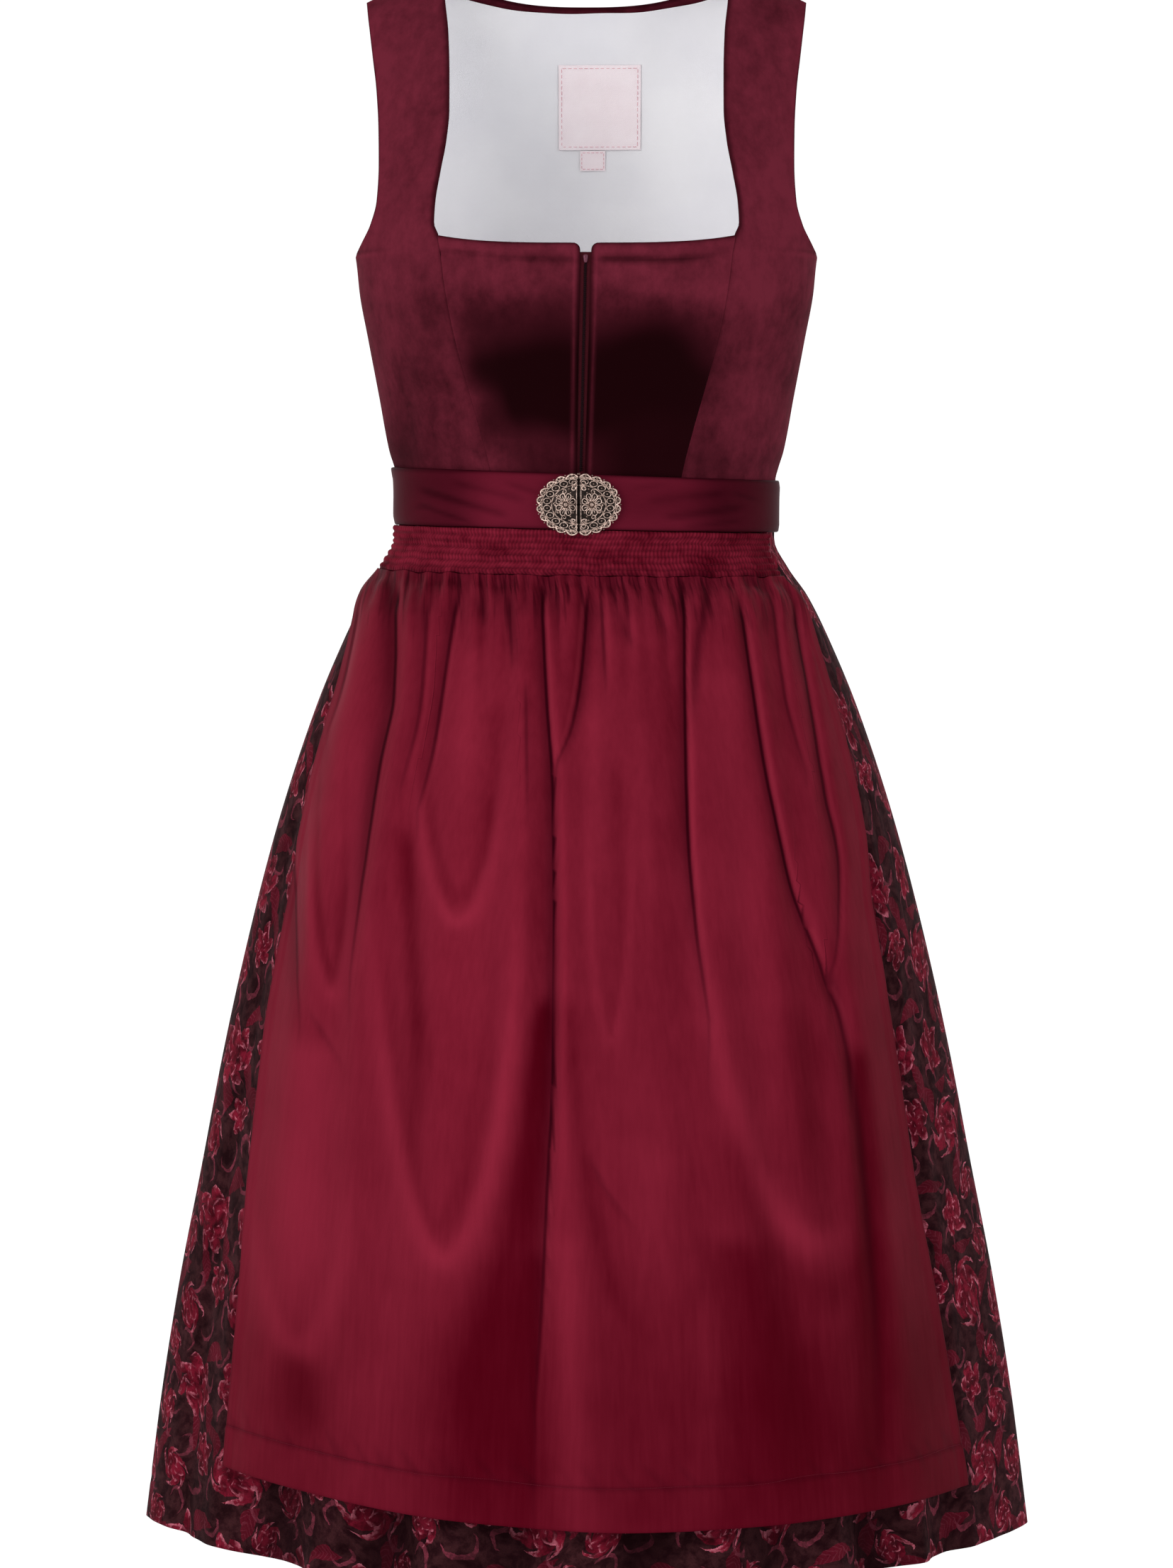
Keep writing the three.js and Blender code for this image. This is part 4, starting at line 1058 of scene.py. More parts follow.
# ---- belt
beltCut = dict(
    top=-347.4, topTilt=-0.036, bottom=-384.9, bottomTilt=-0.02, wall=1.8, lift=0.8, bulge=0.8, gap=1.0,
    height=37, radius=112, claspCentre=-4.95, claspLevel=-367.8, columns=340, rows=18,
    # x and z of both ends, width, depth
    creases=[
        (-110, -358, -52, -376, 2.4, 1.2), (52, -377, 104, -370, 2.4, 1.0), (-52, -354, -30, -361, 2.0, 0.9),
        (30, -358, 52, -354, 1.8, 0.6), (96, -360, 116, -366, 1.6, 0.6), (-112, -368, -74, -381, 1.8, 0.8),
        (-88, -353, -40, -366, 2.6, 0.8), (40, -366, 92, -360, 2.6, 0.8), (64, -384, 104, -379, 1.6, 0.6),
        (-118, -372, -104, -369, 1.5, 0.5),
    ],
)


# How near a place is to a line between two points, as a bell across it and an eased end.
def nearLine(x, z, line):
    x0, z0, x1, z1, width, depth = line
    length = math.hypot(x1 - x0, z1 - z0)
    along = ((x - x0) * (x1 - x0) + (z - z0) * (z1 - z0)) / length
    across = ((x - x0) * (z1 - z0) - (z - z0) * (x1 - x0)) / length
    return depth * bell(across, width) * ease(-4, 8, along) * ease(length + 4, length - 8, along)


# The belt: the form between two slanted levels, plus its wall, a puff that eases in from both edges and
# soft ripples, less the creases of its front.
def makeBelt():
    look = beltCut
    middle = angleOf(look["claspCentre"], look["claspLevel"])
    ends = look["gap"] / halfAt(look["claspLevel"])
    share = np.linspace(0, 1, look["columns"])[None, :]
    angle = middle + ends + (2 * math.pi - 2 * ends) * share
    x = formPoint(angle, look["claspLevel"])[..., 0]
    top, bottom = look["top"] + look["topTilt"] * x, look["bottom"] + look["bottomTilt"] * x
    down = edgeSteps(look["height"], look["height"] / look["rows"], 3.0)[:, None]
    level, angle = np.broadcast_arrays(mix(top, bottom, down), angle)
    place = formPoint(angle, level)
    edge = np.minimum(down, 1 - down) * look["height"]
    puff = look["bulge"] * ease(0, 6, edge) + rollIn(edge, 1.5, 0.9)
    along = angle * look["radius"]
    waves = 0.5 * ripples(along, level, 60, 9, (0.9, 2.2)) * ease(0, 8, edge)
    creases = sum(nearLine(place[..., 0], place[..., 2], crease) for crease in look["creases"])
    front = np.cos(angle) > 0
    lift = look["lift"] + look["wall"] + puff + 0.5 * waves - 0.7 * np.where(front, creases, 0)
    outer = lifted(angle, level, lift)
    normal = gridNormal(outer)
    # painted light: lighter where the normal looks to the left, with soft ripples
    lit = np.clip(0.62 - 0.3 * normal[..., 0] + 0.12 * ripples(along, level, 40, 19, (1.2, 1.9)), 0, 1)
    # deep mark, painted shade: in the creases, on the rolled edges and where the belt turns to the sides
    dark = 0.3 * np.where(front, creases, 0) + 0.6 * ease(2.4, 0, edge)
    dark = dark + 0.6 * ease(0.45, 0.72, np.abs(np.sin(angle)))
    dark = np.clip(dark + 0.25 * waves * ease(4, 12, edge), 0, 0.85)
    inner = lifted(angle, level, np.full(angle.shape, look["lift"]))
    piece = clothShell("beltCloth", outer, inner, [beltSatin], marks=dict(lit=lit, deep=dark))
    dress(piece, "belt_satin", "belt")


makeBelt()
print("belt made")


# ---- apron
apronCut = dict(
    lift=2.6, wall=1.2, hem=-1022, hemTilt=-0.035, hemSag=5, hemDepth=28, hemStep=0.5, sideHem=9,
    bandBottom=-416, bandTilt=-0.015, bandLift=0.9, bandWall=1.6, bandRows=7, bandRib=2.7, bandWave=0.5,
    ribDepth=0.85, rowDepth=1.0, length=606, pleatSpan=240, columns=192, stitchSteps=2400,
    # level and the places of the left and right edge, as shares of the way round to the side seam
    edgeRows=[
        (-385, -0.985, 0.84), (-412, -0.985, 0.78), (-433, -0.9, 0.78), (-470, -0.816, 0.767),
        (-505, -0.782, 0.752), (-585, -0.772, 0.732), (-643, -0.766, 0.698), (-705, -0.762, 0.698),
        (-765, -0.748, 0.701), (-825, -0.735, 0.706), (-910, -0.71, 0.727), (-1030, -0.7, 0.756),
    ],
    # place across, width, depth and the share of the length where it is fullest
    ridges=[
        (0.1, 26, 6, 0.35), (0.21, 18, 8, 0.2), (0.32, 30, 7, 0.5), (0.43, 20, 9, 0.25), (0.5, 26, 9, 0.55),
        (0.6, 24, 8, 0.3), (0.7, 20, 7, 0.45), (0.79, 18, 8, 0.25), (0.89, 26, 6, 0.5),
    ],
    # points x, z down the crease; width, depth and the side where its lip stands, -1 left, 1 right, 0 none
    creases=[
        ([(-126, -424), (-125, -498), (-133, -545), (-141, -605), (-150, -680)], 6, 3.4, 1),
        ([(-126, -424), (-125, -506)], 4.4, 3.4, 0),
        ([(-84, -432), (-92, -492), (-98, -532), (-107, -572)], 4, 2.8, 1),
        ([(-101, -436), (-105, -500), (-117, -560)], 4, 1.8, 1),
        ([(-72, -424), (-67, -448)], 7, 2.6, 0),
        ([(-50, -432), (-47, -476)], 4, 2.0, -1),
        ([(-38, -490), (-36, -572)], 3, 1.3, -1),
        ([(-29, -424), (-25, -500), (-21, -560), (-20, -660), (-21, -740), (-24, -800),
          (-28, -880), (-33, -950)], 3.4, 4.8, 1),
        ([(1, -428), (-3, -480), (-9, -516), (-19, -542)], 3.2, 3.2, -1),
        ([(9, -428), (12, -490)], 3, 2.0, 1),
        ([(21, -444), (29, -466)], 4.5, 1.8, 0),
        ([(41, -428), (52, -460)], 3.4, 1.8, 0),
        ([(63, -424), (63, -520), (64, -580), (68, -640), (76, -704)], 3.0, 4.2, 1),
        ([(77, -430), (71, -468), (67, -512)], 6, 3.2, 0),
        ([(99, -436), (104, -480), (112, -540), (120, -580), (130, -620), (143, -656),
          (153, -684), (161, -706), (168, -740)], 3.2, 4.2, 1),
        ([(155, -676), (168, -740), (176, -800), (182, -860), (187, -920), (189, -980)], 6, 3.0, 0),
        ([(121, -436), (128, -500), (140, -548)], 3, 1.8, 1),
        ([(137, -440), (145, -500), (153, -560), (162, -612), (160, -650), (155, -682)], 3, 3.0, 1),
        ([(-150, -436), (-162, -500), (-170, -524)], 4, 2.0, 1),
        ([(-197, -600), (-190, -660), (-184, -716)], 7, 2.0, 1),
        ([(2, -790), (13, -812), (29, -834)], 4, 1.4, 0),
        ([(-178, -706), (-168, -722), (-156, -738)], 5, 1.4, 0),
    ],
    # bands of shade and light: points x, z down the band; width at its top and bottom and change of the
    # lit mark
    tones=[
        ([(-24, -690), (-34, -790), (-52, -880), (-64, -960), (-70, -1040)], 5, 34, -0.5),
        ([(-30, -850), (-36, -940), (-38, -1030)], 8, 15, -0.3),
        ([(-114, -585), (-110, -650), (-105, -720), (-108, -800)], 5, 9, -0.3),
        ([(-10, -690), (-5, -760), (12, -860), (34, -905)], 5, 8, -0.2),
        ([(-10, -840), (-6, -1030)], 6, 8, 0.12),
        ([(92, -845), (118, -930), (130, -1040)], 16, 48, -0.3),
        ([(172, -730), (182, -860), (186, -960), (184, -1030)], 8, 13, -0.4),
        ([(132, -700), (142, -780), (150, -850)], 12, 20, -0.14),
        ([(-176, -725), (-184, -850), (-186, -920)], 16, 22, 0.24),
        ([(-186, -930), (-183, -985)], 14, 18, -0.24),
        ([(-160, -450), (-152, -560), (-160, -640)], 13, 12, 0.16),
        ([(-74, -465), (-78, -560)], 9, 8, 0.16),
        ([(-55, -500), (-60, -560), (-64, -610)], 8, 10, -0.16),
        ([(6, -500), (4, -650)], 5, 5, 0.14),
        ([(19, -540), (24, -700)], 5, 6, -0.14),
        ([(34, -510), (40, -670)], 4, 5, 0.1),
        ([(84, -480), (96, -640), (112, -760)], 12, 18, 0.12),
        ([(140, -480), (147, -600)], 5, 6, 0.12),
        ([(42, -780), (44, -850)], 14, 18, 0.1),
        ([(76, -880), (78, -1030)], 9, 11, 0.12),
        ([(204, -700), (232, -1040)], 16, 22, -0.1),
        ([(-120, -880), (-132, -1010)], 22, 26, 0.1),
    ],
    # painted light and shade along hanging swags, z = bottom + rise * ((x - place) / half)^2: place, bottom,
    # half, rise, width, change of the lit mark and the sides between which they show
    swags=[
        (-80, -642, 27, 66, 5, 0.24, (-1, 1)), (-79, -626, 21, 54, 6, -0.14, (-1, 1)),
        (-88, -858, 44, 150, 7, 0.26, (-1, 1)), (-92, -834, 34, 130, 9, -0.12, (-1, 1)),
        (-163, -694, 17, 80, 5, 0.24, (-1, 1)), (-163, -678, 10, 66, 5, -0.16, (-1, 1)),
        (-187, -926, 34, 70, 9, 0.16, (-1, 1)), (15, -716, 14, 90, 4, 0.16, (-1, 1)),
        (152, -853, 90, 205, 10, 0.27, (-1, 0.0)), (156, -884, 92, 200, 12, -0.16, (-1, 0.2)),
    ],
)
apronLeft, apronRight = smoothCurve(apronCut["edgeRows"], 1), smoothCurve(apronCut["edgeRows"], 2)


def acrossApron(share, level):
    return angleAtShare(mix(apronLeft(level), apronRight(level), share), level)


# Where a place is beside a line that runs down through points: how far aside, the share of the way down, and
# an eased strength that ends at both tips.
def besideLine(x, z, points):
    top, tip = points[0][1], points[-1][1]
    shown = ease(top + 8, top - 12, z) * ease(tip - 0.25 * (top - tip), tip + 0.5 * (top - tip), z)
    aside = x - smoothCurve([(level, across) for across, level in points])(z)
    return aside, np.clip((top - z) / (top - tip), 0, 1), shown


# The apron's painted light and shade, its lit mark, by its bands and swags, about half where there are none.
def apronTone(x, z):
    tone = 0.54 - 0.2 * ease(-840, -960, z) - 0.07 * ease(40, -140, x)
    for points, start, end, change in apronCut["tones"]:
        aside, share, shown = besideLine(x, z, points)
        tone = tone + change * shown * bell(aside, mix(start, end, share))
    for place, bottom, half, rise, width, change, sides in apronCut["swags"]:
        share = (x - place) / half
        slope = 2 * rise * share / half
        gap = (z - bottom - rise * share**2) / np.sqrt(1 + slope**2)
        within = ease(sides[0] - 0.3, sides[0] + 0.2, share) * ease(sides[1] + 0.3, sides[1] - 0.2, share)
        tone = tone + change * within * bell(gap, width)
    return tone


# Where a pleat of the gathers stands, between its share of the cloth and plumb under its place on the band.
def pleatPlace(share, x):
    span = apronCut["pleatSpan"]
    return mix(share * span, x * 0.86 + span / 2, 0.6)


# The apron's gathers: long wide ones, with short narrow ones between them.
def apronGathers(along, below):
    span = apronCut["pleatSpan"]
    wide = gathers(along, below, span, 8.2, 2.2, 62, 23)
    return wide + gathers(along, below, span, 5.0, 1.9, 16, 37)


# The line under the belt where the band begins.
def bandStart(x):
    return beltCut["bottom"] + beltCut["bottomTilt"] * x - 0.5


# The uneven line where the band ends and the apron cloth begins.
def bandEnd(x):
    return apronCut["bandBottom"] + apronCut["bandTilt"] * x + apronCut["bandWave"] * ripples(x, 0, 16, 88)


# The shirred band: the form, plus rows that are the sine of the place down to the power 0.7, plus ribs that
# are cosines of the place along and stand highest on the rows.
def makeBand():
    look = apronCut
    bottomLevel = look["bandBottom"]
    length = (apronRight(bottomLevel) - apronLeft(bottomLevel)) * quarterLength(bottomLevel)
    ribs = round(length / look["bandRib"])
    share = np.linspace(0, 1, ribs * 4 + 1)[None, :]
    down = np.linspace(0, 1, look["bandRows"] * 6 + 1)[:, None]
    x = formPoint(acrossApron(share, bottomLevel), bottomLevel)[..., 0]
    level = mix(bandStart(x), bandEnd(x), down)
    angle = acrossApron(share, level)
    wander = 0.35 * ripples(share * length, down * 31, 11, 3)
    rowPlace = down * look["bandRows"] + 0.12 * ripples(share * length, down * 5, 26, 8)
    ridge = np.maximum(np.abs(np.sin(np.pi * rowPlace)) ** 0.7, 0.8 * ease(0.95, 1, down))
    drift = 3 * ripples(rowPlace * 9, share * 40, 17, 4)
    rib = 0.5 + 0.5 * np.cos(2 * np.pi * share * ribs + wander * 3 + drift)
    edge = np.minimum(share, 1 - share) * length
    relief = look["rowDepth"] * ridge + look["ribDepth"] * rib * (0.4 + 0.6 * ridge)
    relief = relief * (1 - 0.6 * ease(0.93, 1, down))
    lift = look["bandLift"] + look["bandWall"] - 0.3 + relief * ease(0, 3, edge) + rollIn(edge, 1.2, 0.7)
    outer = lifted(angle, level, lift)
    blotch = ripples(share * length, down * 31, 34, 71) + 0.6 * ripples(share * length, down * 31, 9, 72)
    # painted light: lighter where the normal looks to the left, with random blotches
    lit = np.clip(0.56 - 0.2 * gridNormal(outer)[..., 0] + 0.16 * blotch, 0, 1)
    along = pleatPlace(share, x)
    puckers = apronGathers(along, 0 * along)
    # deep mark, painted shade: between the rows and ribs and in the puckers at the band's bottom, with random
    # blotches
    dark = 0.36 * (1 - ridge) ** 1.5 + 0.34 * (1 - rib) + 0.1 * np.clip(-blotch, 0, 2)
    dark = np.clip(dark + 0.2 * np.clip(puckers, 0, 2) * ease(0.8, 1, down), 0, 0.85)
    inner = lifted(angle, level, np.full(level.shape, look["bandLift"]))
    piece = clothShell("apronBand", outer, inner, [bandSatin], marks=dict(lit=lit, deep=dark), rim=2)
    dress(piece, "satin", "apron_band")
    # the rows of shirring thread: a thread along each row that dips at each rib
    threads = []
    for k in range(1, look["bandRows"]):
        t = np.linspace(0.01, 0.99, ribs * 3)
        xs = formPoint(acrossApron(t, bottomLevel), bottomLevel)[..., 0]
        at = (k - 0.12 * ripples(t * length, 5.0 * k / look["bandRows"], 26, 8)) / look["bandRows"]
        levels = mix(bandStart(xs), bandEnd(xs), at)
        rise = look["bandLift"] + look["bandWall"] + 0.02 + 0.22 * np.cos(2 * np.pi * t * ribs)
        threads.append(tube(lifted(acrossApron(t, levels), levels, rise), 0.16, 4))
    stitches = dress(plainObject("bandStitches", threads, satinThread), "satin")


# Height of the hem's stitching over the edge, a little uneven along it.
def hemStitching(share):
    return apronCut["hemDepth"] + 0.8 * ripples(share * 560, 0 * share, 60, 29)


# The apron cloth: the form, plus ridges that are bells across and down, plus soft ripples, less a bell across
# each crease, wider on its lip's side, less the gathers, with a step at the hems and a dip at their stitches.
def apronSurface(share, down):
    look = apronCut
    rough = mix(look["bandBottom"], look["hem"], down)
    x = formPoint(acrossApron(share, rough), rough)[..., 0]
    top = bandEnd(x) - 0.15
    bottom = look["hem"] + look["hemTilt"] * x - look["hemSag"] * (1 - (x / halfAt(look["hem"])) ** 2)
    level = mix(top, bottom, down)
    angle = acrossApron(share, level)
    place = formPoint(angle, level)
    length = (apronRight(level) - apronLeft(level)) * quarterLength(level)
    below = (top - level) * np.ones(share.shape)
    edge = np.minimum(share, 1 - share) * length
    rise = ease(0, 30, below) * 3.2
    for at, width, depth, fullest in look["ridges"]:
        full = bell(down - fullest, 0.45)
        rise = rise + 0.8 * np.clip(below / 30, 0, 1) * depth * full * bell((share - at) * length, width)
    along = pleatPlace(share, place[..., 0])
    close = apronGathers(along, below) + gathers(along, below, look["pleatSpan"], 12, 2.6, 13, 51)
    close = close * ease(0, 8, edge)
    # painted shade in each crease's hollow, and the strength and side of each crease's painted dark line and
    # highlight
    creases, creaseShade, pressed, nearest = 0, 0, 0, np.full(level.shape, 99.0)
    for points, width, depth, lip in look["creases"]:
        aside, _, shown = besideLine(place[..., 0], place[..., 2], points)
        slope = width * (1 + 1.9 * abs(lip) * ease(2.5, -2.5, aside * (lip or 1)))
        creases = creases + 0.85 * depth * shown * bell(aside, slope + 0.8)
        creaseShade = np.maximum(creaseShade, shown * bell(aside, 0.5 * slope) * min(1, depth / 3.4) * (width < 12))
        if lip:
            closer = np.abs(aside) < np.abs(nearest)
            pressed = np.where(closer, min(1, depth / 4.0) * shown, pressed)
            nearest = np.where(closer, aside * lip, nearest)
    soft = 1.1 * ripples(place[..., 0], place[..., 2] * 0.22, 90, 15, (-0.5, 0.5)) * ease(20, 120, below)
    fine = 0.14 * ripples(place[..., 0], place[..., 2], 22, 19)
    hemLine = hemStitching(share)
    aboveHem = level - bottom
    hemStep = look["hemStep"] * ease(1.2, -0.6, aboveHem - hemLine)
    pucker = 0.3 * ripples(share * 620, aboveHem * 0.3, 11, 33) * bell(aboveHem - hemLine, 9)
    stitch = 0.35 * bell(aboveHem - hemLine, 0.9)
    sideStep = 0.35 * ease(look["sideHem"] + 0.6, look["sideHem"] - 0.6, edge)
    sideStitch = 0.3 * bell(edge - look["sideHem"], 0.8)
    lift = look["lift"] + look["wall"] + rise + soft + fine - creases
    lift = lift + hemStep + pucker - stitch + sideStep - sideStitch
    tone = apronTone(place[..., 0], place[..., 2])
    lift = lift + 2.2 * (np.clip(tone, 0, 1) - 0.54) * ease(0, 60, below) - 1.3 * bell(below, 9)
    lift = np.maximum(lift - close * mix(0.3, 1, ease(0, 7, below)) + 0.9 * bell(below, 40), 1.6)
    lift = lift - 1.8 * bell(edge, 20) * ease(10, 60, below) * (lift > 3.4)
    pressed = pressed * ease(11, 7, np.abs(nearest))
    return angle, level, lift, close, creaseShade, edge, aboveHem, below, np.clip(nearest, -12, 12), pressed, tone


# The apron's lit mark, painted light, is its tone less the part of the normal that looks to the right. Its
# deep mark, painted shade, grows in the hollows of the creases, between the gathers and along the stitches.
def makeApron():
    look = apronCut
    rows = np.concatenate([
        [0, 0.5, 1.3, 2.5], np.arange(4, 84, 1.75), np.arange(84, 240, 2.7), np.arange(240, 576, 4.0),
        np.arange(576, 603, 1.8), [603.5, 605, 605.8, look["length"]],
    ])
    down = (rows / look["length"])[:, None]
    share = edgeSteps(300, 300 / look["columns"], 3.0)[None, :]
    down, share = np.broadcast_arrays(down, share)
    angle, level, lift, close, creaseShade, edge, aboveHem, below, aside, pressed, tone = apronSurface(share, down)
    outer = lifted(angle, level, lift)
    normal = gridNormal(outer)
    # lit mark, painted light: the tone less the part of the normal that looks to the right
    lit = np.clip(tone - 0.35 * (normal[..., 0] - 0.55 * np.sin(angle)), 0, 1)
    # deep mark, painted shade: in the crease hollows, between the gathers, along the hem's stitches and
    # puckers, at the edges
    dark = 0.56 * creaseShade + 0.36 * np.clip(close / 2.2, 0, 1.6) * ease(60, 20, below)
    fromStitch = aboveHem - look["hemDepth"]
    puckerShade = np.clip(ripples(share * 620 + aboveHem * 0.9, aboveHem * 0.2, 13, 41), 0, 1)
    puckerShade = puckerShade * bell(fromStitch - 5, 9)
    dark = dark + 0.3 * bell(fromStitch, 1.6) + 0.2 * puckerShade
    dark = np.clip(dark + 0.25 * bell(edge, 1.5) + 0.3 * bell(aboveHem, 1.0), 0, 0.9)
    uv = np.stack([pleatPlace(share, outer[..., 0]) * mm, below * mm], axis=-1)
    marks = dict(lit=lit, deep=dark, aside=aside, pressed=pressed)
    inner = lifted(angle, level, lift - look["wall"])
    piece = clothShell("apronCloth", outer, inner, [apronSatin], uv=uv, marks=marks)
    dress(piece, "satin", "apron_panel")
    # the hem's thread, a stitch every five steps
    t = np.linspace(0.004, 0.996, look["stitchSteps"])
    downs = 1 - hemStitching(t) / look["length"]
    angle, level, lift = apronSurface(t[None, :], downs[None, :])[:3]
    wave = 0.18 * np.cos(2 * np.pi * np.arange(look["stitchSteps"]) / 5.0) + 0.06
    path = lifted(angle, level, lift + wave[None, :])[0]
    stitches = dress(plainObject("apronHemStitches", [tube(path, 0.17, 4)], satinThread), "satin")


makeBand()
makeApron()
print("apron made")


# ---- clasp
claspCut = dict(
    half=27.2, height=20.7, slit=0.5, lift=6.0, wall=1.3, scallops=10, scallopDepth=0.11, rosette=8.3,
    rings=[0, 0.22, 0.42, 0.6, 0.78, 0.92, 1], relief=[0.9, 1.6, 1.2, 0.3, 0.6, 1.2, 0.2],
)


# A place on the clasp: x and z from its middle, at a lift over the plate's back, on the curve of the belt.
def onClasp(x, z, lift):
    x, z, lift = np.broadcast_arrays(x, z, lift)
    level = beltCut["claspLevel"]
    angle = angleOf(beltCut["claspCentre"] + x, level)
    point = lifted(angle, np.full(x.shape, float(level)), claspCut["lift"] + lift)
    point[..., 2] = level + z
    return point


# How far out a place is on its half of the clasp: 0 in the middle of the slit and 1 on the rim's ellipse.
def claspReach(x, z):
    across = (np.abs(x) - claspCut["slit"]) / (claspCut["half"] - claspCut["slit"])
    return np.hypot(across, z / claspCut["height"])


# Height of the plate's front: its wall plus the relief, which runs straight from ring to ring.
def reliefAt(x, z):
    return claspCut["wall"] + np.interp(claspReach(x, z), claspCut["rings"], claspCut["relief"])


# A ball as a tube whose radius follows the sine of the turn from pole to pole.
def bead(centre, radius, around=8, rows=5):
    turn = np.linspace(0, math.pi, rows + 1)
    path = centre + np.outer(-np.cos(turn), (0, -radius, 0))
    return tube(path, np.maximum(radius * np.sin(turn), 0.01), around, up=(0, 0, 1))


# Half of the clasp: a half ellipse with scallops, each 1 less a share of what a sine to the power 0.8 leaves,
# and the wires and beads that lie on its relief.
def claspHalf(side, word):
    look = claspCut
    reachX, wires = look["half"] - look["slit"], []

    def oval(share, turn, rise=0.0):
        x = side * (look["slit"] + reachX * share * np.cos(turn))
        z = look["height"] * share * np.sin(turn)
        return onClasp(x, z, reliefAt(x, z) + rise)

    turn = np.linspace(math.pi / 2, -math.pi / 2, 121)
    arcs = np.abs(np.sin(turn * look["scallops"] + math.pi / 2 * look["scallops"])) ** 0.8
    scallop = 1 - look["scallopDepth"] * (1 - arcs)
    ring = np.linspace(0.015, 1, 26)[:, None]
    x = side * (look["slit"] + reachX * ring * scallop * np.cos(turn))
    z = look["height"] * ring * scallop * np.sin(turn)
    front = onClasp(x, z, reliefAt(x, z) - 0.35)
    back = onClasp(x, z, 0.0)
    if side < 0:
        front, back = front[:, ::-1], back[:, ::-1]
    plate = clothShell("claspPlate" + word, front, back, [silverHoleShade], bulge=0.5)
    dress(plate, "silver", "clasp_" + word.lower())
    # wires: the scalloped rim, two ropes of two strands each, and the straight edge
    wires.append(tube(oval(scallop * 0.985, turn, 0.1), 0.62, 7))
    for share, thick in ((0.86, 0.34), (0.63, 0.3)):
        long = np.linspace(math.pi / 2, -math.pi / 2, 220)
        for lead in (0, math.pi):
            twist = long * 46 + lead
            rope = oval(share + 0.011 * np.cos(twist), long, 0.25 + 0.22 * np.sin(twist))
            wires.append(tube(rope, thick * 0.75, 5))
    edgeZ = np.linspace(look["height"] * 0.96, -look["height"] * 0.96, 30)
    wires.append(tube(onClasp(side * (look["slit"] + 0.9), edgeZ, reliefAt(0.9, edgeZ) - 0.1), 0.26, 6))
    # curls that fill the field round the rosette
    for k in range(7):
        middle = math.pi / 2 - (k + 0.5) * math.pi / 7
        t = np.linspace(0, 2.4 * math.pi, 26)
        r = 1.75 * (1 - t / (3.2 * math.pi))
        x0, z0 = look["slit"] + reachX * 0.53 * math.cos(middle), look["height"] * 0.53 * math.sin(middle)
        px, pz = side * np.maximum(x0 + r * np.cos(t + middle), 1.2), z0 + r * np.sin(t + middle)
        wires.append(tube(onClasp(px, pz, reliefAt(px, pz) + 0.25), 0.32, 5))
    # an eyelet with a bead in each scallop, and an oval with one between the ropes
    for k in range(look["scallops"]):
        middle = math.pi / 2 - (k + 0.5) * math.pi / look["scallops"]
        t = np.linspace(0, 2 * math.pi, 22, endpoint=False)
        span = math.pi / look["scallops"]
        eyelet = oval(0.93 + 0.042 * np.cos(t), middle + 0.33 * span * np.sin(t), 0.3)
        wires.append(tube(eyelet, 0.3, 5, closed=True))
        wires.append(bead(oval(np.array([0.93]), np.array([middle]), 0.35)[0], 0.72))
        wires.append(bead(oval(np.array([0.985]), np.array([middle + span / 2]), 0.3)[0], 0.55))
        swing = middle + 0.4 * span * np.sin(t)
        wires.append(tube(oval(0.745 + 0.085 * np.cos(t), swing, 0.3), 0.33, 5, closed=True))
        wires.append(bead(oval(np.array([0.745]), np.array([middle]), 0.3)[0], 0.55))
    for z in (-14.5, -11, 11, 14.5):
        t = np.linspace(0, 2 * math.pi, 14, endpoint=False)
        px, pz = side * (3.1 + 1.3 * np.cos(t)), z + 1.3 * np.sin(t)
        wires.append(tube(onClasp(px, pz, reliefAt(px, pz) + 0.2), 0.32, 5, closed=True))
        px, pz = side * (2.2 + abs(z) * 0.28), z * 0.72
        wires.append(bead(onClasp(px, pz, reliefAt(px, pz) + 0.3), 0.6))
    # the rosette: eight petals as loops with a vein, a ring of beads and a knob
    cx, petals = side * look["rosette"], 8
    for k in range(petals):
        base = 2 * math.pi * (k + 0.5) / petals
        t = np.linspace(0, 2 * math.pi, 26, endpoint=False)
        out = 4.3 - 2.2 * np.cos(t)
        swing = base + 0.36 * np.sin(t) * (0.55 + 0.45 * np.sin(t / 2))
        px, pz = cx + out * np.cos(swing), 1.18 * out * np.sin(swing)
        loop = onClasp(px, pz, reliefAt(px, pz) + 0.55 + 0.3 * np.cos(t / 2) ** 2)
        wires.append(tube(loop, 0.36, 5, closed=True))
        out = np.linspace(2.6, 5.4, 6)
        px, pz = cx + out * math.cos(base), 1.18 * out * math.sin(base)
        wires.append(tube(onClasp(px, pz, reliefAt(px, pz) + 0.45), 0.3, 5))
        spot = base + math.pi / petals
        px, pz = cx + 2.15 * math.cos(spot), 2.4 * math.sin(spot)
        wires.append(bead(onClasp(px, pz, reliefAt(px, pz) + 0.75), 0.6))
        px, pz = cx + 6.6 * math.cos(spot), 7.6 * math.sin(spot)
        if abs(px) > 1.6:
            wires.append(bead(onClasp(px, pz, reliefAt(px, pz) + 0.35), 0.5))
    wires.append(bead(onClasp(cx, 0.0, reliefAt(cx, 0.0) + 0.9), 1.5, 14, 8))
    dress(plainObject("claspWires" + word, wires, silverBright), "silver")


claspHalf(-1, "Left")
claspHalf(1, "Right")
print("clasp made")


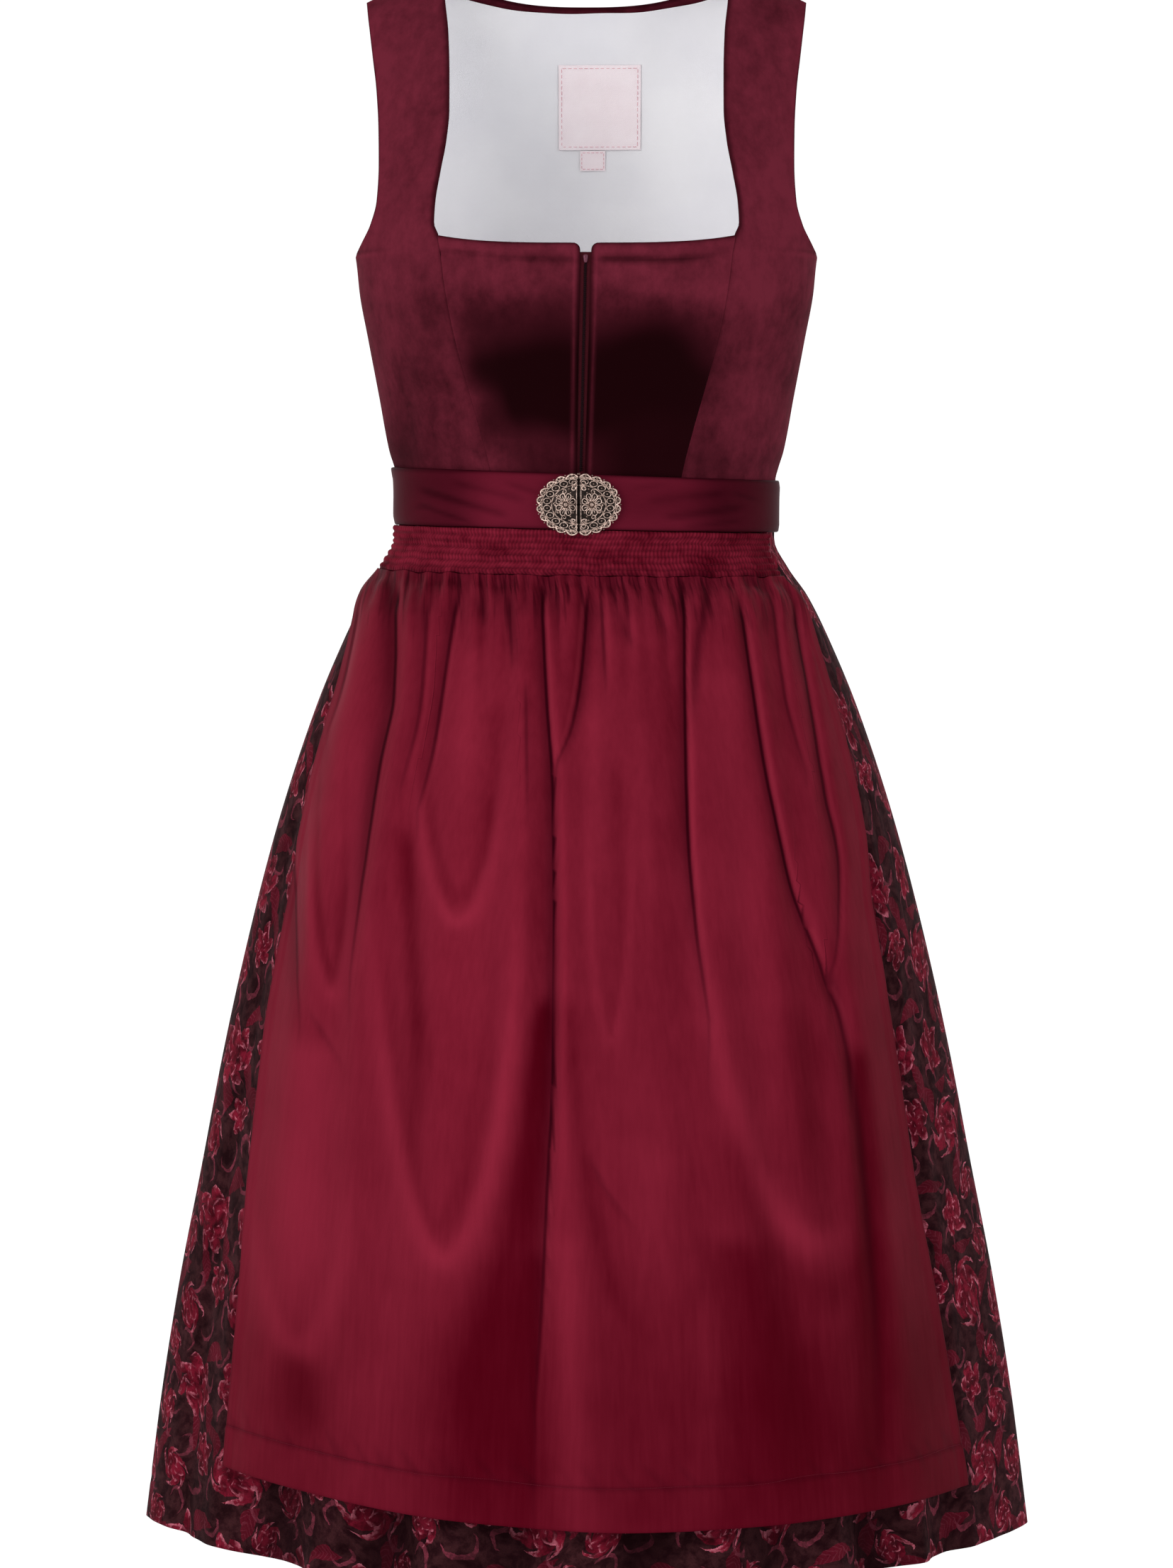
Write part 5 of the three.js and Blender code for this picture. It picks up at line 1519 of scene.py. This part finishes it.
# ---- studio
# Studio paper: pale, with a glow that eases from weak in front of the dress to strong behind it.
def stageMaterial(name, shade):
    made, tree, place = newMaterial(name)
    parts = tree.nodes.new("ShaderNodeSeparateXYZ")
    tree.links.new(place, parts.inputs[0])
    darker, paler = rgb(shade, shade, shade), rgb(shade + 3, shade + 3, shade + 3)
    colour = blend(tree, noise(tree, place, 2.0), darker, paler)
    glow = blend(tree, ramp(tree, parts.outputs[1], -5.0, 1.5), (0.66, 0.66, 0.66, 1), (1, 1, 1, 1))
    shader = {"Roughness": 0.9, "Specular IOR Level": 0.1, "Emission Color": glow, "Emission Strength": 0.9}
    finishMaterial(tree, colour, shader)
    return made


# Floor and backdrop as one round bowl: a flat disc, a quarter circle up and an upright wall.
def makeStage():
    look = dict(floor=-1520.0, wall=9000.0, bend=1500.0, top=8000.0, sides=96)
    turn = np.linspace(0, math.pi / 2, 16)
    flat = look["wall"] - look["bend"]
    curve = flat + look["bend"] * np.sin(turn[1:])
    radius = np.concatenate([[1.0], np.linspace(900, flat, 8), curve, [look["wall"]]])
    rise = np.concatenate([[0.0] * 9, look["bend"] * (1 - np.cos(turn[1:])), [look["top"]]])
    around = np.linspace(0, 2 * math.pi, look["sides"], endpoint=False)[None, :]
    radius, height = radius[:, None], (look["floor"] + rise)[:, None]
    points = np.stack(np.broadcast_arrays(radius * np.cos(around), radius * np.sin(around), height), axis=-1)
    faces = gridFaces(len(rise), look["sides"], closeColumns=True)
    meshObject("studioBowl", points.reshape(-1, 3), faces, [stageMaterial("studioPaper", 118)])


def softLight(name, place, aim, size, power, colour):
    lamp = bpy.data.lights.new(name, "AREA")
    lamp.shape, lamp.size, lamp.energy, lamp.color = "DISK", size, power, colour
    made = bpy.data.objects.new(name, lamp)
    made.location = place
    made.rotation_euler = (Vector(aim) - Vector(place)).to_track_quat("-Z", "Y").to_euler()
    bpy.context.scene.collection.objects.link(made)


def makeCamera():
    lens = bpy.data.cameras.new("camera")
    lens.lens, lens.sensor_fit = 106.54, "VERTICAL"
    lens.sensor_height = lens.sensor_width = 36
    camera = bpy.data.objects.new("camera", lens)
    camera.location = (0, -3.2, -0.3381)
    camera.rotation_euler = (math.radians(90 - 3.994), 0, 0)
    bpy.context.scene.collection.objects.link(camera)
    bpy.context.scene.camera = camera


makeStage()
softLight("key", (-1.7, -2.7, 0.5), (0, 0, -0.5), 2.2, 44, (1, 0.985, 0.97))
softLight("fill", (2.1, -2.6, 0.0), (0, 0, -0.6), 1.8, 19, (0.97, 0.98, 1))
softLight("back", (0.6, 1.9, 1.2), (0, 0, -0.4), 1.4, 12, (1, 1, 1))
world = bpy.data.worlds.new("studio")
world.use_nodes = True
world.node_tree.nodes["Background"].inputs["Color"].default_value = (1, 1, 1, 1)
world.node_tree.nodes["Background"].inputs["Strength"].default_value = 0.72
bpy.context.scene.world = world
makeCamera()
print("studio made")
